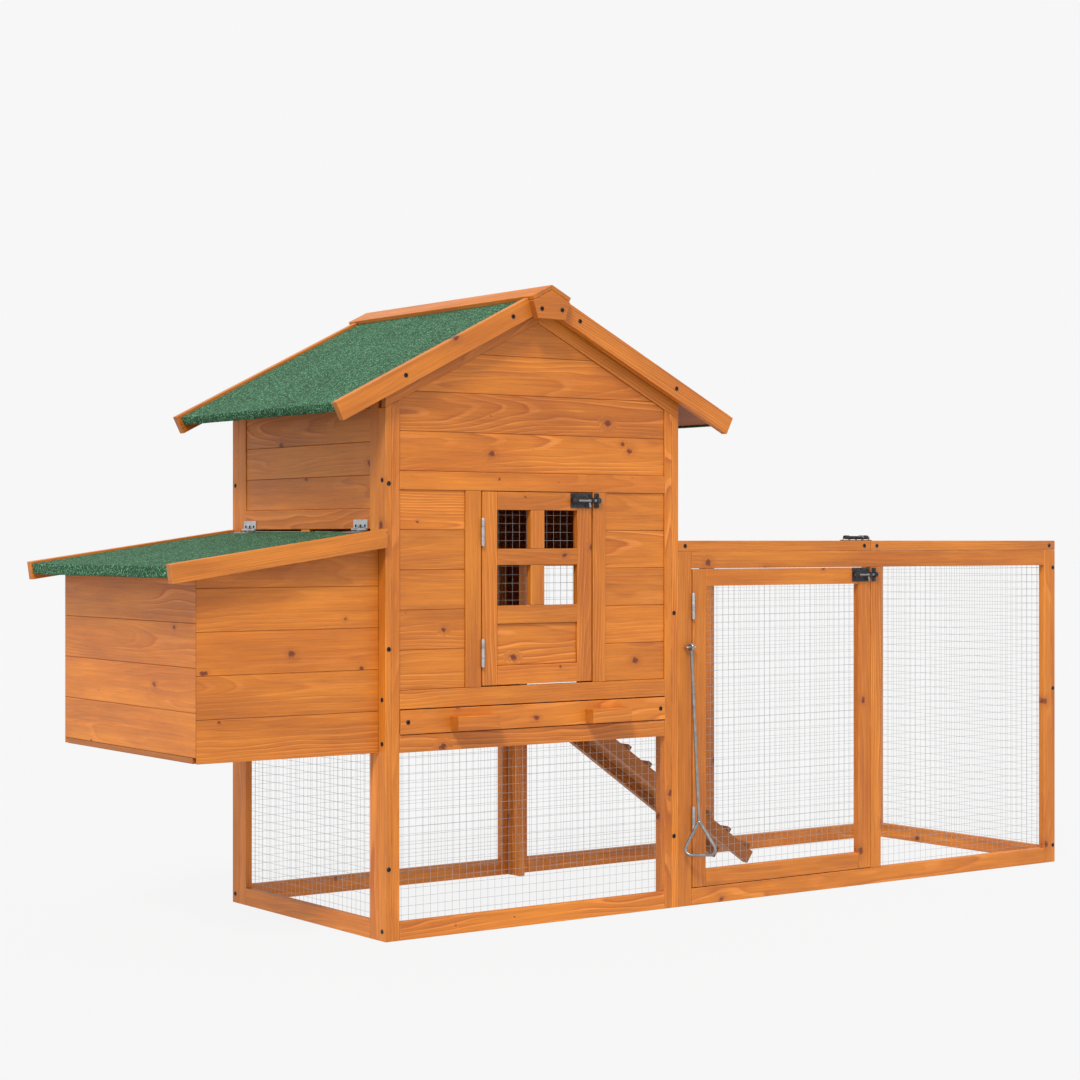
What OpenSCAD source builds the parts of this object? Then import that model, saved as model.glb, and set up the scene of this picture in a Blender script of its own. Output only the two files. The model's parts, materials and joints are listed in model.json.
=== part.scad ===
// Chicken coop: a gabled timber house on legs with a nest box on its left end
// and a wire run on its right.
//
// Frame: +X from the nest box to the run, +Y from the front to the back, +Z up.
// The modules below measure from the house's front left corner on the ground;
// to_row() then moves that corner so that the origin is the middle of the base.

/* [House] */
// Width of the house along X
house_w = 640; // [620:1:680]
// Depth of the house and the run along Y
house_d = 541; // [520:1:580]
// Height of the ridge above the ground
ridge_z = 1127; // [1110:1:1160]
// Rise of the roof over its run
roof_slope = 0.503; // [0.48:0.001:0.52]
// How far the roof reaches past the end walls
eave_reach = 112; // [100:1:120]
// Top of the open bay under the house
bay_top_z = 319; // [300:1:330]
// Underside of the rail over the house door
head_z = 767; // [760:1:790]

/* [Nest box] */
// How far the nest box stands out from the house
nest_reach = 346; // [300:1:380]
// Slope of the nest lid in degrees
lid_pitch = 8.08; // [7:0.01:9]
// Height of the top of the lid's side boards at the house wall
lid_top_z = 700.6; // [698:0.1:704]

/* [Run] */
// Length of the run along X
run_l = 1029.7; // [1000:0.1:1100]
// Height of the run
run_h = 680; // [675:1:690]

/* [Timber] */
// Thickness of the house frame
frame_t = 14; // [13:0.5:15]
// Thickness of the run frame
run_t = 15; // [14:0.5:16]
// Width of rails and stiles
rail_w = 32; // [30:1:34]
// Thickness of the cladding boards
board_t = 10; // [9:0.5:10.5]
// Height of one cladding board
board_pitch = 68.4; // [66:0.1:70]

/* [Hidden] */

fir = "#d4803c";
fir_dark = "#b5622b";
felt_green = "#4a7a58";
zinc = "#a9acae";
gunmetal = "#4b4f55";

gap = 0.3;            // every timber is this much smaller than its place, so joints show
$fn = 32;

// ---- house frame
left_batten = 12;     // corner post widths seen from the front
right_batten = 16;
batten_d = 24.5;      // corner post depth
front_stile = 16.5;
side_stile = 26.5;
in_x0 = left_batten + front_stile;               // clear width between the front stiles
in_x1 = house_w - right_batten - front_stile;
in_y0 = batten_d + side_stile;                   // clear depth between the side stiles
in_y1 = house_d - in_y0;
floor_z = bay_top_z + 30;                        // top of the rail under the tray
tray_z1 = floor_z + 44;                          // underside of the rail over the tray
sill_z = tray_z1 + rail_w;                       // top of that rail, under the door
clad_y = 3;                                      // how far the cladding lies behind the frame
wall_clad = 2;                                   // the same on the end walls
wall_head_w = 35;                                // rail at the top of an end wall

// ---- roof
pitch = atan(roof_slope);
mid_x = house_w / 2;
felt_drop = 5;        // felt below the top of the bargeboards
felt_t = 3;
roof_board_t = 10;
roof_drop = felt_drop + felt_t + roof_board_t;   // underside of the roof boards
rake_w = 36;          // depth of the raking trim over each gable
barge_w = 34;
barge_t = 15;
eave_s = (mid_x + eave_reach) / cos(pitch);      // length of a bargeboard along the slope
felt_y0 = -10;        // the roof reaches this far past the front and back walls
felt_y1 = house_d + 10;
cap_w = 45;
cap_t = 8;
cap_over = 15.5;      // the ridge cap passes the bargeboards by this much
wall_top = ridge_z - mid_x * roof_slope - roof_drop / cos(pitch) - 4;

// ---- house door
door_x0 = 199;
door_x1 = 438;
door_z0 = sill_z + 2;
door_z1 = head_z - 1;
jamb_l = [164, 196.5];
jamb_r = [441, 470];

// ---- nest box
nest_y0 = 22;
nest_y1 = house_d - 16;
nest_t = 12;
lid_pivot = [-3.3, lid_top_z - 1.3];             // hinge axis in X and Z
lid_trim_top = 0.8;                              // heights above the pivot, square to the lid
lid_felt_top = -3.2;
lid_board_top = lid_felt_top - felt_t;
lid_board_low = lid_board_top - 10;
lid_trim_w = 32;
lid_l = 408.7;                                   // length along the slope
lid_y0 = 5;
lid_y1 = house_d - 7;
nest_opening_z = 700;                            // top of the holes into the nests
nest_pitch = 71;                                 // height of one board of the box
nest_end_pitch = 72.5;                           // height of one board of its end
nest_floor_top = bay_top_z + 10;

// ---- run
run_x0 = house_w;
run_x1 = house_w + run_l;
end_t = 11.7;
seam_x = run_x0 + 492;                           // where the two top frames meet
front_post = [seam_x, seam_x + 28];
back_post = [seam_x + 9, seam_x + 41];
top_t = 20;
top_z = run_h - top_t;
run_door_x = [run_x0 + 34.5, seam_x - 1];
run_door_z = [33, top_z - 33];
mesh_t = 1;

// ---- pop door and ramp
pop_y = [298, in_y1];
pop_z = [floor_z, run_h - 45];
pop_open_y = 82;                                 // its near edge when open
pop_w = pop_y[1] - pop_y[0] + 14;
pop_t = 6;
pop_jamb_w = 30;
pop_x = run_x0 + 4.5;
guide_d = 15;
ramp_pitch = 35;
ramp_pivot = [run_x0 + guide_d + 3.2, floor_z - 4];
ramp_y = [359, 480];
ramp_low = -15.6;                                // ramp depth, square to its slope
ramp_high = 12.4;
ramp_board_low = 3.2;
ramp_l = (ramp_pivot[1] + ramp_low * cos(ramp_pitch) - 1) / sin(ramp_pitch);

// ---- hinges
knuckle_r = 3;
pin_r = 1.5;
running = 0.05;
leaf_t = 1.2;
butt_l = 48;
butt_leaf = [0.15, 1.25];                        // the two leaves fold face to face
butt_y = -3.1;                                   // pin line in front of the timber face
house_hinge_x = (jamb_l[1] + door_x0) / 2;
house_hinge_z = [460, 671];
run_hinge_x = (run_x0 + rail_w + run_door_x[0]) / 2;
run_hinge_z = [136, 534];
nest_hinge_y = [56, 448];
nest_hinge_l = 46;
lid_hinge_x = [seam_x + 60, run_x1 - 110];
lid_axis = [house_d + 3.2, top_z + 0.15];        // Y and Z of the run lid's pins
ramp_hinge_y = [ramp_y[0] + 20, ramp_y[1] - 50];
ramp_hinge_l = 30;

// ---- barrel bolts, drawn with the rod along +X and the plate's face towards +Z
bolt_plate = [47.5, 27, 1.5];
bolt_rod_r = 3;
bolt_h = 5.5;                                    // rod centre above the timber
bolt_rod_x = [3, 67];
bolt_arm_x = 38;
keeper_x = [53, 64];
house_bolt = [390, 0, head_z - 15];
run_bolt = [seam_x - 51, 0, run_door_z[1] - 14];
lid_bolt = [seam_x - 48, 26, run_h];

// ---- pull rod, hanging from a staple and leaning on the stile
rod_r = 3;
staple_r = 2;
rod_pivot = [run_x0 + 23, -9, 482];
rod_lean = 4;
handle_top = 321;
handle_low = 384;
handle_half = 37;
handle_turn = 32;                                // the handle's foot, turned from square to the wall

// ---- whole object
screw_head = 1.3;
x_lo = lid_pivot[0] - lid_l * cos(lid_pitch) + lid_trim_top * -sin(lid_pitch);
x_hi = run_x1;
y_lo = rod_pivot[1] - handle_half * cos(handle_turn) * cos(rod_lean)
    - handle_low * sin(rod_lean) - rod_r;
y_hi = felt_y1 + barge_t + cap_over - 0.2 + screw_head;

// ------------------------------------------------------------------ helpers

module to_row() {
    translate([-(x_lo + x_hi) / 2, -(y_lo + y_hi) / 2, -gap / 2]) children();
}

// one timber that fills the place between two corners, less the joint gap
module timber(lo, hi) {
    g = [gap, gap, gap];
    translate(lo + g / 2) cube(hi - lo - g);
}

// boards laid one above another, filling the place between two corners
module planks(lo, hi, count) {
    step = (hi[2] - lo[2]) / count;
    for (i = [0 : count - 1])
        timber([lo[0], lo[1], lo[2] + i * step], [hi[0], hi[1], lo[2] + (i + 1) * step]);
}

// four timbers in a rectangle in the XZ plane: stiles full height, rails between
module frame_xz(x, z, y0, t, w) {
    timber([x[0], y0, z[0]], [x[0] + w, y0 + t, z[1]]);
    timber([x[1] - w, y0, z[0]], [x[1], y0 + t, z[1]]);
    timber([x[0] + w, y0, z[0]], [x[1] - w, y0 + t, z[0] + w]);
    timber([x[0] + w, y0, z[1] - w], [x[1] - w, y0 + t, z[1]]);
}

// height of the roof line at x, less a depth measured square to the slope
function rake_z(x, drop) = ridge_z - roof_slope * abs(x - mid_x) - drop / cos(pitch);

// an outline in X and Z, given thickness along Y
module along_y(y0, y1) {
    translate([0, y1, 0]) rotate([90, 0, 0]) linear_extrude(y1 - y0) children();
}

// keeps what lies under the raking trim
module under_rake() {
    drop = roof_drop + rake_w + gap;
    intersection() {
        children();
        along_y(-1, house_d + 1) polygon([[0, 0], [house_w, 0],
            [house_w, rake_z(house_w, drop)], [mid_x, rake_z(mid_x, drop)],
            [0, rake_z(0, drop)]]);
    }
}

// puts the same thing on the back wall that the front wall has
module to_back() {
    translate([0, house_d, 0]) mirror([0, 1, 0]) children();
}

// on_slope: X runs down the slope from the ridge, Z is square to it; both sides
module on_slopes() {
    for (side = [0, 1])
        translate([mid_x, 0, ridge_z]) mirror([side, 0, 0]) rotate([0, pitch, 0]) children();
}

// a strip of roof between two depths, mitred at the ridge
module slope_strip(n0, n1, s1, y0, y1) {
    mitre = gap / 2 / cos(pitch);
    along_y(y0, y1) polygon([[mitre - n0 * roof_slope, n0], [mitre - n1 * roof_slope, n1],
        [s1, n1], [s1, n0]]);
}

// ---- hinge parts: the pin runs along Z, a leaf reaches along +X

module knuckle(z0, z1, leaf, root) {
    difference() {
        union() {
            translate([0, 0, z0]) cylinder(r = knuckle_r, h = z1 - z0);
            translate([root, leaf[0], z0]) cube([knuckle_r + 1 - root, leaf[1] - leaf[0], z1 - z0]);
        }
        translate([0, 0, z0 - 1]) cylinder(r = pin_r + running, h = z1 - z0 + 2);
    }
}

module leaf_plate(l, leaf, reach) {
    translate([knuckle_r + 0.6, leaf[0], 0]) cube([reach - knuckle_r - 0.6, leaf[1] - leaf[0], l]);
}

// the leaf with the two end knuckles
module outer_leaf(l, leaf, reach, root = 0) {
    knuckle(0, l * 0.3, leaf, root);
    knuckle(l * 0.7, l, leaf, root);
    leaf_plate(l, leaf, reach);
}

// the leaf with the middle knuckle
module inner_leaf(l, leaf, reach, root = 0) {
    knuckle(l * 0.3 + 0.5, l * 0.7 - 0.5, leaf, root);
    leaf_plate(l, leaf, reach);
}

module hinge_pin(l) {
    translate([0, 0, -1]) cylinder(r = pin_r, h = l + 2);
}

surface_leaf = [knuckle_r - leaf_t, knuckle_r];

// turns a hinge part so that its pin lies along Y or X instead of Z
module pin_along_y() rotate([-90, 0, 0]) children();
module pin_along_x() rotate([90, 0, 90]) children();

// ---- bolt parts

module bolt_body() {
    guides = [[1.5, 12], [43, 47.5]];
    difference() {
        union() {
            translate([0, -bolt_plate[1] / 2, 0]) cube(bolt_plate);
            for (g = guides) {
                translate([g[0], -bolt_h + 0.5, 1]) cube([g[1] - g[0], 2 * bolt_h - 1, bolt_h - 1]);
                translate([g[0], 0, bolt_h]) rotate([0, 90, 0])
                    cylinder(r = bolt_h - 0.5, h = g[1] - g[0]);
            }
        }
        translate([-1, 0, bolt_h]) rotate([0, 90, 0]) cylinder(r = bolt_rod_r + running, h = 60);
    }
    for (x = [5, 42], side = [-1, 1])
        translate([x, side * 9.5, 1]) cylinder(r = 2.4, h = 1.4);
}

module bolt_keeper() {
    w = keeper_x[1] - keeper_x[0];
    difference() {
        union() {
            translate([keeper_x[0], -bolt_plate[1] / 2, 0]) cube([w, bolt_plate[1], bolt_plate[2]]);
            translate([keeper_x[0] + 2, -bolt_h + 0.5, 1]) cube([w - 4, 2 * bolt_h - 1, bolt_h - 1]);
            translate([keeper_x[0] + 2, 0, bolt_h]) rotate([0, 90, 0])
                cylinder(r = bolt_h - 0.5, h = w - 4);
        }
        translate([keeper_x[0] - 1, 0, bolt_h]) rotate([0, 90, 0])
            cylinder(r = bolt_rod_r + 0.3, h = w + 2);
    }
    for (side = [-1, 1])
        translate([keeper_x[0] + w / 2, side * 9.5, 1]) cylinder(r = 2.4, h = 1.4);
}

module bolt_rod() {
    translate([bolt_rod_x[0], 0, bolt_h]) rotate([0, 90, 0])
        cylinder(r = bolt_rod_r, h = bolt_rod_x[1] - bolt_rod_x[0]);
    translate([bolt_arm_x, 0, bolt_h]) rotate([75, 0, 0]) cylinder(r = 2.2, h = 13);
}

// stands a bolt on a front face, or lays it on a top
module on_front(at) translate(at) rotate([90, 0, 0]) children();

// ------------------------------------------------------------------ house

module corner_posts() {
    color(fir) to_row() under_rake() {
        for (back = [0, 1]) {
            y0 = back * (house_d - batten_d);
            timber([0, y0, 0], [left_batten, y0 + batten_d, ridge_z]);
            timber([house_w - right_batten, y0, 0], [house_w, y0 + batten_d, ridge_z]);
        }
    }
}

module wall_stiles() {
    under_rake() {
        timber([left_batten, 0, 0], [in_x0, frame_t, ridge_z]);
        timber([in_x1, 0, 0], [in_x1 + front_stile, frame_t, ridge_z]);
    }
}

module wall_rail(z0, z1) timber([in_x0, 0, z0], [in_x1, frame_t, z1]);

module front_frame() {
    color(fir) to_row() {
        wall_stiles();
        wall_rail(0, rail_w);
        wall_rail(bay_top_z, floor_z);
        wall_rail(tray_z1, sill_z);
        wall_rail(head_z, head_z + rail_w);
        for (jamb = [jamb_l, jamb_r])
            timber([jamb[0], 0, sill_z], [jamb[1], frame_t, head_z]);
    }
}

module gable_boards() {
    z0 = head_z + rail_w;
    for (i = [0 : 3])
        under_rake() timber([in_x0, clad_y, z0 + i * board_pitch],
            [in_x1, clad_y + board_t, z0 + (i + 1) * board_pitch]);
}

module front_cladding() {
    color(fir) to_row() {
        planks([in_x0, clad_y, sill_z], [jamb_l[0], clad_y + board_t, head_z], 5);
        planks([jamb_r[1], clad_y, sill_z], [in_x1, clad_y + board_t, head_z], 5);
        gable_boards();
    }
}

module back_frame() {
    color(fir) to_row() to_back() {
        wall_stiles();
        wall_rail(0, rail_w);
        wall_rail(bay_top_z, floor_z);
        wall_rail(head_z, head_z + rail_w);
        timber([mid_x - rail_w / 2, 0, floor_z], [mid_x + rail_w / 2, frame_t, head_z]);
    }
}

module back_cladding() {
    color(fir) to_row() to_back() {
        planks([in_x0, clad_y, floor_z], [mid_x - rail_w / 2, clad_y + board_t, head_z], 6);
        planks([mid_x + rail_w / 2, clad_y, floor_z], [in_x1, clad_y + board_t, head_z], 6);
        gable_boards();
    }
}

// stiles, floor rail and top rail of an end wall, flat against x0
module end_wall_frame(x0) {
    for (y = [batten_d, in_y1]) timber([x0, y, 0], [x0 + frame_t, y + side_stile, wall_top]);
    for (z = [[bay_top_z, floor_z], [wall_top - wall_head_w, wall_top]])
        timber([x0, in_y0, z[0]], [x0 + frame_t, in_y1, z[1]]);
}

module left_frame() {
    mid_y = house_d / 2;
    lip_z = floor_z + 71;
    color(fir) to_row() {
        end_wall_frame(0);
        timber([0, in_y0, 0], [frame_t, in_y1, rail_w]);
        timber([0, in_y0, nest_opening_z], [frame_t, in_y1, nest_opening_z + wall_head_w]);
        timber([1, in_y0, floor_z], [frame_t - 1, in_y1, lip_z]);
        timber([0, mid_y - 14, lip_z], [frame_t, mid_y + 14, nest_opening_z]);
    }
}

module left_cladding() {
    color(fir) to_row()
        planks([wall_clad, in_y0, nest_opening_z + wall_head_w],
            [wall_clad + board_t, in_y1, wall_top - wall_head_w], 3);
}

module right_frame() {
    x0 = house_w - frame_t;
    color(fir) to_row() {
        end_wall_frame(x0);
        timber([x0, in_y0, pop_z[1]], [house_w, in_y1, run_h]);
        timber([x0, pop_y[0] - pop_jamb_w, floor_z], [house_w, pop_y[0], pop_z[1]]);
    }
}

module right_cladding() {
    x1 = house_w - wall_clad;
    color(fir) to_row() {
        planks([x1 - board_t, in_y0, floor_z], [x1, pop_y[0] - pop_jamb_w, pop_z[1]], 4);
        planks([x1 - board_t, in_y0, run_h], [x1, in_y1, wall_top - wall_head_w], 3);
    }
}

module house_mesh() {
    z = [rail_w - 10, bay_top_z + 10];
    color(zinc) to_row() {
        for (y = [frame_t, house_d - frame_t - mesh_t])
            timber([in_x0 - 10, y, z[0]], [in_x1 + 10, y + mesh_t, z[1]]);
        timber([frame_t, in_y0 - 10, z[0]], [frame_t + mesh_t, in_y1 + 10, z[1]]);
    }
}

module tray_runners() {
    color(fir_dark) to_row()
        for (x = [frame_t + 2, house_w - frame_t - 22])
            timber([x, frame_t, floor_z - 18], [x + 20, house_d - frame_t, floor_z]);
}

module perch() {
    y = house_d / 2;
    z = floor_z + 150;
    color(fir_dark) to_row() {
        // the bar, with its top edges taken off
        translate([frame_t + 12.5, 0, 0]) rotate([90, 0, 90])
            linear_extrude(house_w - 2 * frame_t - 25)
            polygon([[y - 14, z], [y + 14, z], [y + 14, z + 20], [y + 8, z + 28],
                [y - 8, z + 28], [y - 14, z + 20]]);
        // a cleat under and round each end
        for (x = [frame_t, house_w - frame_t - 12]) {
            timber([x, y - 26, z - 22], [x + 12, y + 26, z]);
            timber([x, y - 26, z], [x + 12, y - 14.5, z + 24]);
            timber([x, y + 14.5, z], [x + 12, y + 26, z + 24]);
        }
    }
}

// ------------------------------------------------------------------ roof

module roof_frame() {
    top = roof_drop + 0.3;
    low = roof_drop + rake_w;
    color(fir) to_row() {
        for (y = [0, house_d - frame_t]) for (side = [0, 1])
            translate([mid_x, 0, 0]) mirror([side, 0, 0]) translate([-mid_x, 0, 0])
                along_y(y, y + frame_t) polygon([[0.2, rake_z(0.2, low)], [0.2, rake_z(0.2, top)],
                    [mid_x - gap / 2, rake_z(mid_x - gap / 2, top)],
                    [mid_x - gap / 2, rake_z(mid_x - gap / 2, low)]]);
        // ridge beam between the gables
        timber([mid_x - 11, frame_t, rake_z(mid_x - 11, top) - 32],
            [mid_x + 11, house_d - frame_t, rake_z(mid_x - 11, top)]);
    }
}

module roof_boards() {
    count = 5;
    n1 = -felt_drop - felt_t - gap / 2;
    n0 = n1 - roof_board_t + gap / 2;
    s0 = (roof_drop + 1) * roof_slope;
    step = (eave_s - 12 - s0) / count;
    color(fir_dark) to_row() on_slopes()
        for (i = [0 : count - 1])
            timber([s0 + i * step, felt_y0, n0], [s0 + (i + 1) * step, felt_y1, n1]);
}

module roof_felt() {
    n1 = -felt_drop;
    n0 = n1 - felt_t + 0.1;
    s1 = eave_s - 8;
    mitre = gap / 2 / cos(pitch);
    color(felt_green) to_row() on_slopes()
        along_y(felt_y0 + 0.3, felt_y1 - 0.3) polygon([
            [mitre - n0 * roof_slope, n0], [mitre - n1 * roof_slope, n1], [s1, n1],
            [s1, n0 - roof_board_t - 3], [s1 - felt_t, n0 - roof_board_t - 3], [s1 - felt_t, n0]]);
}

module bargeboards() {
    notch = cap_w + 1;
    mitre = gap / 2 / cos(pitch);
    top = -felt_drop - 0.4;
    color(fir) to_row() for (y = [felt_y0 - barge_t, felt_y1]) on_slopes()
        along_y(y + 0.1, y + barge_t - 0.1) polygon([
            [mitre + barge_w * roof_slope, -barge_w], [mitre - top * roof_slope, top],
            [notch, top], [notch, 0], [eave_s, 0], [eave_s, -barge_w]]);
}

module ridge_cap() {
    color(fir) to_row() on_slopes()
        slope_strip(-felt_drop + 0.1, cap_t - felt_drop, cap_w,
            felt_y0 - barge_t - cap_over, felt_y1 + barge_t + cap_over);
}

module ridge_blocks() {
    z = ridge_z - (felt_drop + 0.3) / cos(pitch);
    half_top = 40;
    half_low = 30;
    color(fir) to_row() for (y = [felt_y0 - barge_t - cap_over, felt_y1 + barge_t])
        along_y(y + 0.2, y + cap_over - 0.2) polygon([[mid_x, z],
            [mid_x + half_top, z - half_top * roof_slope], [mid_x + half_low, ridge_z - 57],
            [mid_x - half_low, ridge_z - 57], [mid_x - half_top, z - half_top * roof_slope]]);
}

// ------------------------------------------------------------------ nest box

// lid_frame: X runs down the lid from the hinge pins, Z is square to it
module lid_frame() {
    translate([lid_pivot[0], 0, lid_pivot[1]]) rotate([0, -lid_pitch, 0]) mirror([1, 0, 0]) children();
}

// keeps what lies under the closed lid
module under_lid() {
    far = 600;
    intersection() {
        children();
        lid_frame() translate([-40, -50, lid_board_low - 0.8 - far]) cube([far, far + 50, far]);
    }
}

module nest_side_walls() {
    color(fir) to_row() under_lid()
        for (y = [nest_y0, nest_y1 - nest_t])
            planks([-nest_reach, y, bay_top_z], [0, y + nest_t, bay_top_z + 6 * nest_pitch], 6);
}

module nest_end_wall() {
    joint_z = nest_floor_top + 4 * nest_end_pitch;
    color(fir) to_row() under_lid() {
        planks([-nest_reach, nest_y0 + nest_t, nest_floor_top],
            [-nest_reach + nest_t, nest_y1 - nest_t, joint_z], 4);
        timber([-nest_reach, nest_y0 + nest_t, joint_z],
            [-nest_reach + nest_t, nest_y1 - nest_t, bay_top_z + 5 * nest_pitch]);
    }
}

module nest_floor() {
    step = nest_reach / 4;
    color(fir_dark) to_row()
        for (i = [0 : 3])
            timber([-nest_reach + i * step, nest_y0 + nest_t, bay_top_z],
                [-nest_reach + (i + 1) * step, nest_y1 - nest_t, nest_floor_top]);
}

module nest_divider() {
    mid_y = house_d / 2;
    color(fir_dark) to_row()
        timber([-nest_reach + nest_t, mid_y - 6, nest_floor_top], [-24, mid_y + 6, bay_top_z + 240]);
}

module nest_lid_boards() {
    count = 4;
    step = (lid_l - 8) / count;
    color(fir_dark) to_row() lid_frame()
        for (i = [0 : count - 1])
            timber([2 + i * step, lid_y0, lid_board_low], [2 + (i + 1) * step, lid_y1, lid_board_top]);
}

module nest_lid_felt() {
    s1 = lid_l - 2.5;
    n0 = lid_board_top + 0.05;
    color(felt_green) to_row() lid_frame()
        along_y(lid_y0 + 0.3, lid_y1 - 0.3) polygon([[2, n0], [2, lid_felt_top], [s1, lid_felt_top],
            [s1, lid_board_low - 6], [s1 - felt_t, lid_board_low - 6], [s1 - felt_t, n0]]);
}

module nest_lid_battens() {
    color(fir) to_row() lid_frame() {
        // side boards, with the end at the house cut plumb
        for (y = [lid_y0 - barge_t, lid_y1])
            along_y(y + 0.1, y + barge_t - 0.1) polygon([
                [-2, lid_trim_top], [-2 + lid_trim_w * tan(lid_pitch), lid_trim_top - lid_trim_w],
                [lid_l, lid_trim_top - lid_trim_w], [lid_l, lid_trim_top]]);
        // two battens under the lid, inside the box
        for (y = [nest_y0 + nest_t + 16, nest_y1 - nest_t - 40])
            timber([30, y, lid_board_low - 12], [300, y + 24, lid_board_low]);
    }
}

module nest_lid_hinge_leaves() {
    color(zinc) to_row() for (y = nest_hinge_y)
        translate([0, y, 0]) lid_frame() pin_along_y() inner_leaf(nest_hinge_l, surface_leaf, 22);
}

// ------------------------------------------------------------------ house door

module house_door_frame() {
    t = frame_t;
    x = [door_x0, door_x1];
    in = [door_x0 + rail_w, door_x1 - rail_w];
    muntin = [door_x0 + 104, door_x0 + 134];
    color(fir) to_row() {
        for (s = [[x[0], in[0]], [in[1], x[1]]]) timber([s[0], 0, door_z0], [s[1], t, door_z1]);
        // four rails; the lowest one is wider
        rails = [[door_z0, door_z0 + 34], [door_z0 + 107, door_z0 + 139],
            [door_z0 + 210, door_z0 + 239], [door_z1 - rail_w, door_z1]];
        for (z = rails) timber([in[0], 0, z[0]], [in[1], t, z[1]]);
        // glazing bar in two lengths
        for (i = [1, 2]) timber([muntin[0], 0, rails[i][1]], [muntin[1], t, rails[i + 1][0]]);
    }
}

module house_door_panel() {
    color(fir) to_row()
        planks([door_x0 + rail_w, 4, door_z0 + 34], [door_x1 - rail_w, 12, door_z0 + 107], 1);
}

module house_door_mesh() {
    color(zinc) to_row() timber([door_x0 + 22, frame_t, door_z0 + 129],
        [door_x1 - 22, frame_t + mesh_t, door_z1 - 22]);
}

// places a butt hinge on a front face, for each height in a list
module butts(x, heights) {
    for (z = heights) translate([x, butt_y, z]) children();
}

module butt_outer() rotate([0, 0, 90]) outer_leaf(butt_l, butt_leaf, 15, 2);
module butt_inner() mirror([1, 0, 0]) rotate([0, 0, 90]) inner_leaf(butt_l, butt_leaf, 15, 2);

module house_door_hinge_leaves() color(zinc) to_row() butts(house_hinge_x, house_hinge_z) butt_inner();

module house_bolt_plate() color(gunmetal) to_row() on_front(house_bolt) bolt_body();

module house_bolt_rod() color(gunmetal) to_row() on_front(house_bolt) bolt_rod();

// ------------------------------------------------------------------ tray

module tray_front() {
    color(fir) to_row()
        timber([in_x0 + 0.5, -2, floor_z + 1], [in_x1 - 0.5, 13, tray_z1 - 1.5]);
}

module tray_pulls() {
    color(fir) to_row()
        for (x = [house_w * 0.205, house_w * 0.66])
            timber([x, -26, floor_z + 4], [x + 88, -2, floor_z + 29]);
}

module tray_pan() {
    x = [in_x0 + 4, in_x1 - 4];
    y = [14, house_d - frame_t - 4];
    z = [floor_z + 0.6, floor_z + 30];
    w = 1.5;
    color(zinc) to_row() difference() {
        translate([x[0], y[0], z[0]]) cube([x[1] - x[0], y[1] - y[0], z[1] - z[0]]);
        translate([x[0] + w, y[0] + w, z[0] + w])
            cube([x[1] - x[0] - 2 * w, y[1] - y[0] - 2 * w, z[1] - z[0]]);
    }
}

// ------------------------------------------------------------------ run

module run_front_frame() {
    color(fir) to_row() {
        timber([run_x0, 0, 0], [run_x0 + rail_w, run_t, top_z]);
        timber([run_x1 - end_t - 22, 0, 0], [run_x1 - end_t, run_t, top_z]);
        for (z = [0, top_z - rail_w])
            timber([run_x0 + rail_w, 0, z], [run_x1 - end_t - 22, run_t, z + rail_w]);
        timber([front_post[0], 0, rail_w], [front_post[1], run_t, top_z - rail_w]);
    }
}

module run_back_frame() {
    x1 = run_x1 - end_t;
    y = house_d - run_t;
    color(fir) to_row() {
        frame_xz([run_x0, x1], [0, top_z], y, run_t, rail_w);
        timber([back_post[0], y, rail_w], [back_post[1], house_d, top_z - rail_w]);
    }
}

module run_end_frame() {
    x = [run_x1 - end_t, run_x1];
    w = 28;
    color(fir) to_row() {
        for (y = [0, house_d - w]) timber([x[0], y, 0], [x[1], y + w, top_z]);
        for (z = [0, top_z - rail_w])
            timber([x[0], w, z], [x[1], house_d - w, z + rail_w]);
    }
}

// one flat frame of the run's top
module top_frame(x) {
    w = 28;
    z = [top_z, run_h];
    for (y = [0, house_d - w]) timber([x[0], y, z[0]], [x[1], y + w, z[1]]);
    for (x0 = [x[0], x[1] - w]) timber([x0, w, z[0]], [x0 + w, house_d - w, z[1]]);
}

module run_top_frame() color(fir) to_row() top_frame([run_x0, seam_x - 0.3]);

module run_mesh() {
    z = [rail_w - 10, top_z - rail_w + 10];
    lap = 10;
    y1 = house_d - run_t - mesh_t;
    color(zinc) to_row() {
        timber([front_post[1] - lap, run_t, z[0]], [run_x1 - end_t - 22 + lap, run_t + mesh_t, z[1]]);
        for (x = [[run_x0 + rail_w, back_post[0]], [back_post[1], run_x1 - end_t - rail_w]])
            timber([x[0] - lap, y1, z[0]], [x[1] + lap, y1 + mesh_t, z[1]]);
        timber([run_x1 - end_t - mesh_t, 28 - lap, z[0]], [run_x1 - end_t, house_d - 28 + lap, z[1]]);
        timber([run_x0 + 28 - lap, 28 - lap, top_z - mesh_t],
            [seam_x - 28 + lap, house_d - 28 + lap, top_z]);
    }
}

module run_door_frame() {
    color(fir) to_row() frame_xz(run_door_x, run_door_z, 0, run_t, rail_w);
}

module run_door_mesh() {
    in = rail_w - 10;
    color(zinc) to_row() timber([run_door_x[0] + in, run_t, run_door_z[0] + in],
        [run_door_x[1] - in, run_t + mesh_t, run_door_z[1] - in]);
}

module run_door_hinge_leaves() color(zinc) to_row() butts(run_hinge_x, run_hinge_z) butt_inner();

module run_bolt_plate() color(gunmetal) to_row() on_front(run_bolt) bolt_body();

module run_bolt_rod() color(gunmetal) to_row() on_front(run_bolt) bolt_rod();

module run_lid_frame() color(fir) to_row() top_frame([seam_x + 0.3, run_x1]);

module run_lid_mesh() {
    color(zinc) to_row() timber([seam_x + 18, 18, top_z - mesh_t], [run_x1 - 18, house_d - 18, top_z]);
}

module on_lid_axis(x) translate([x, lid_axis[0], lid_axis[1]]) children();

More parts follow.
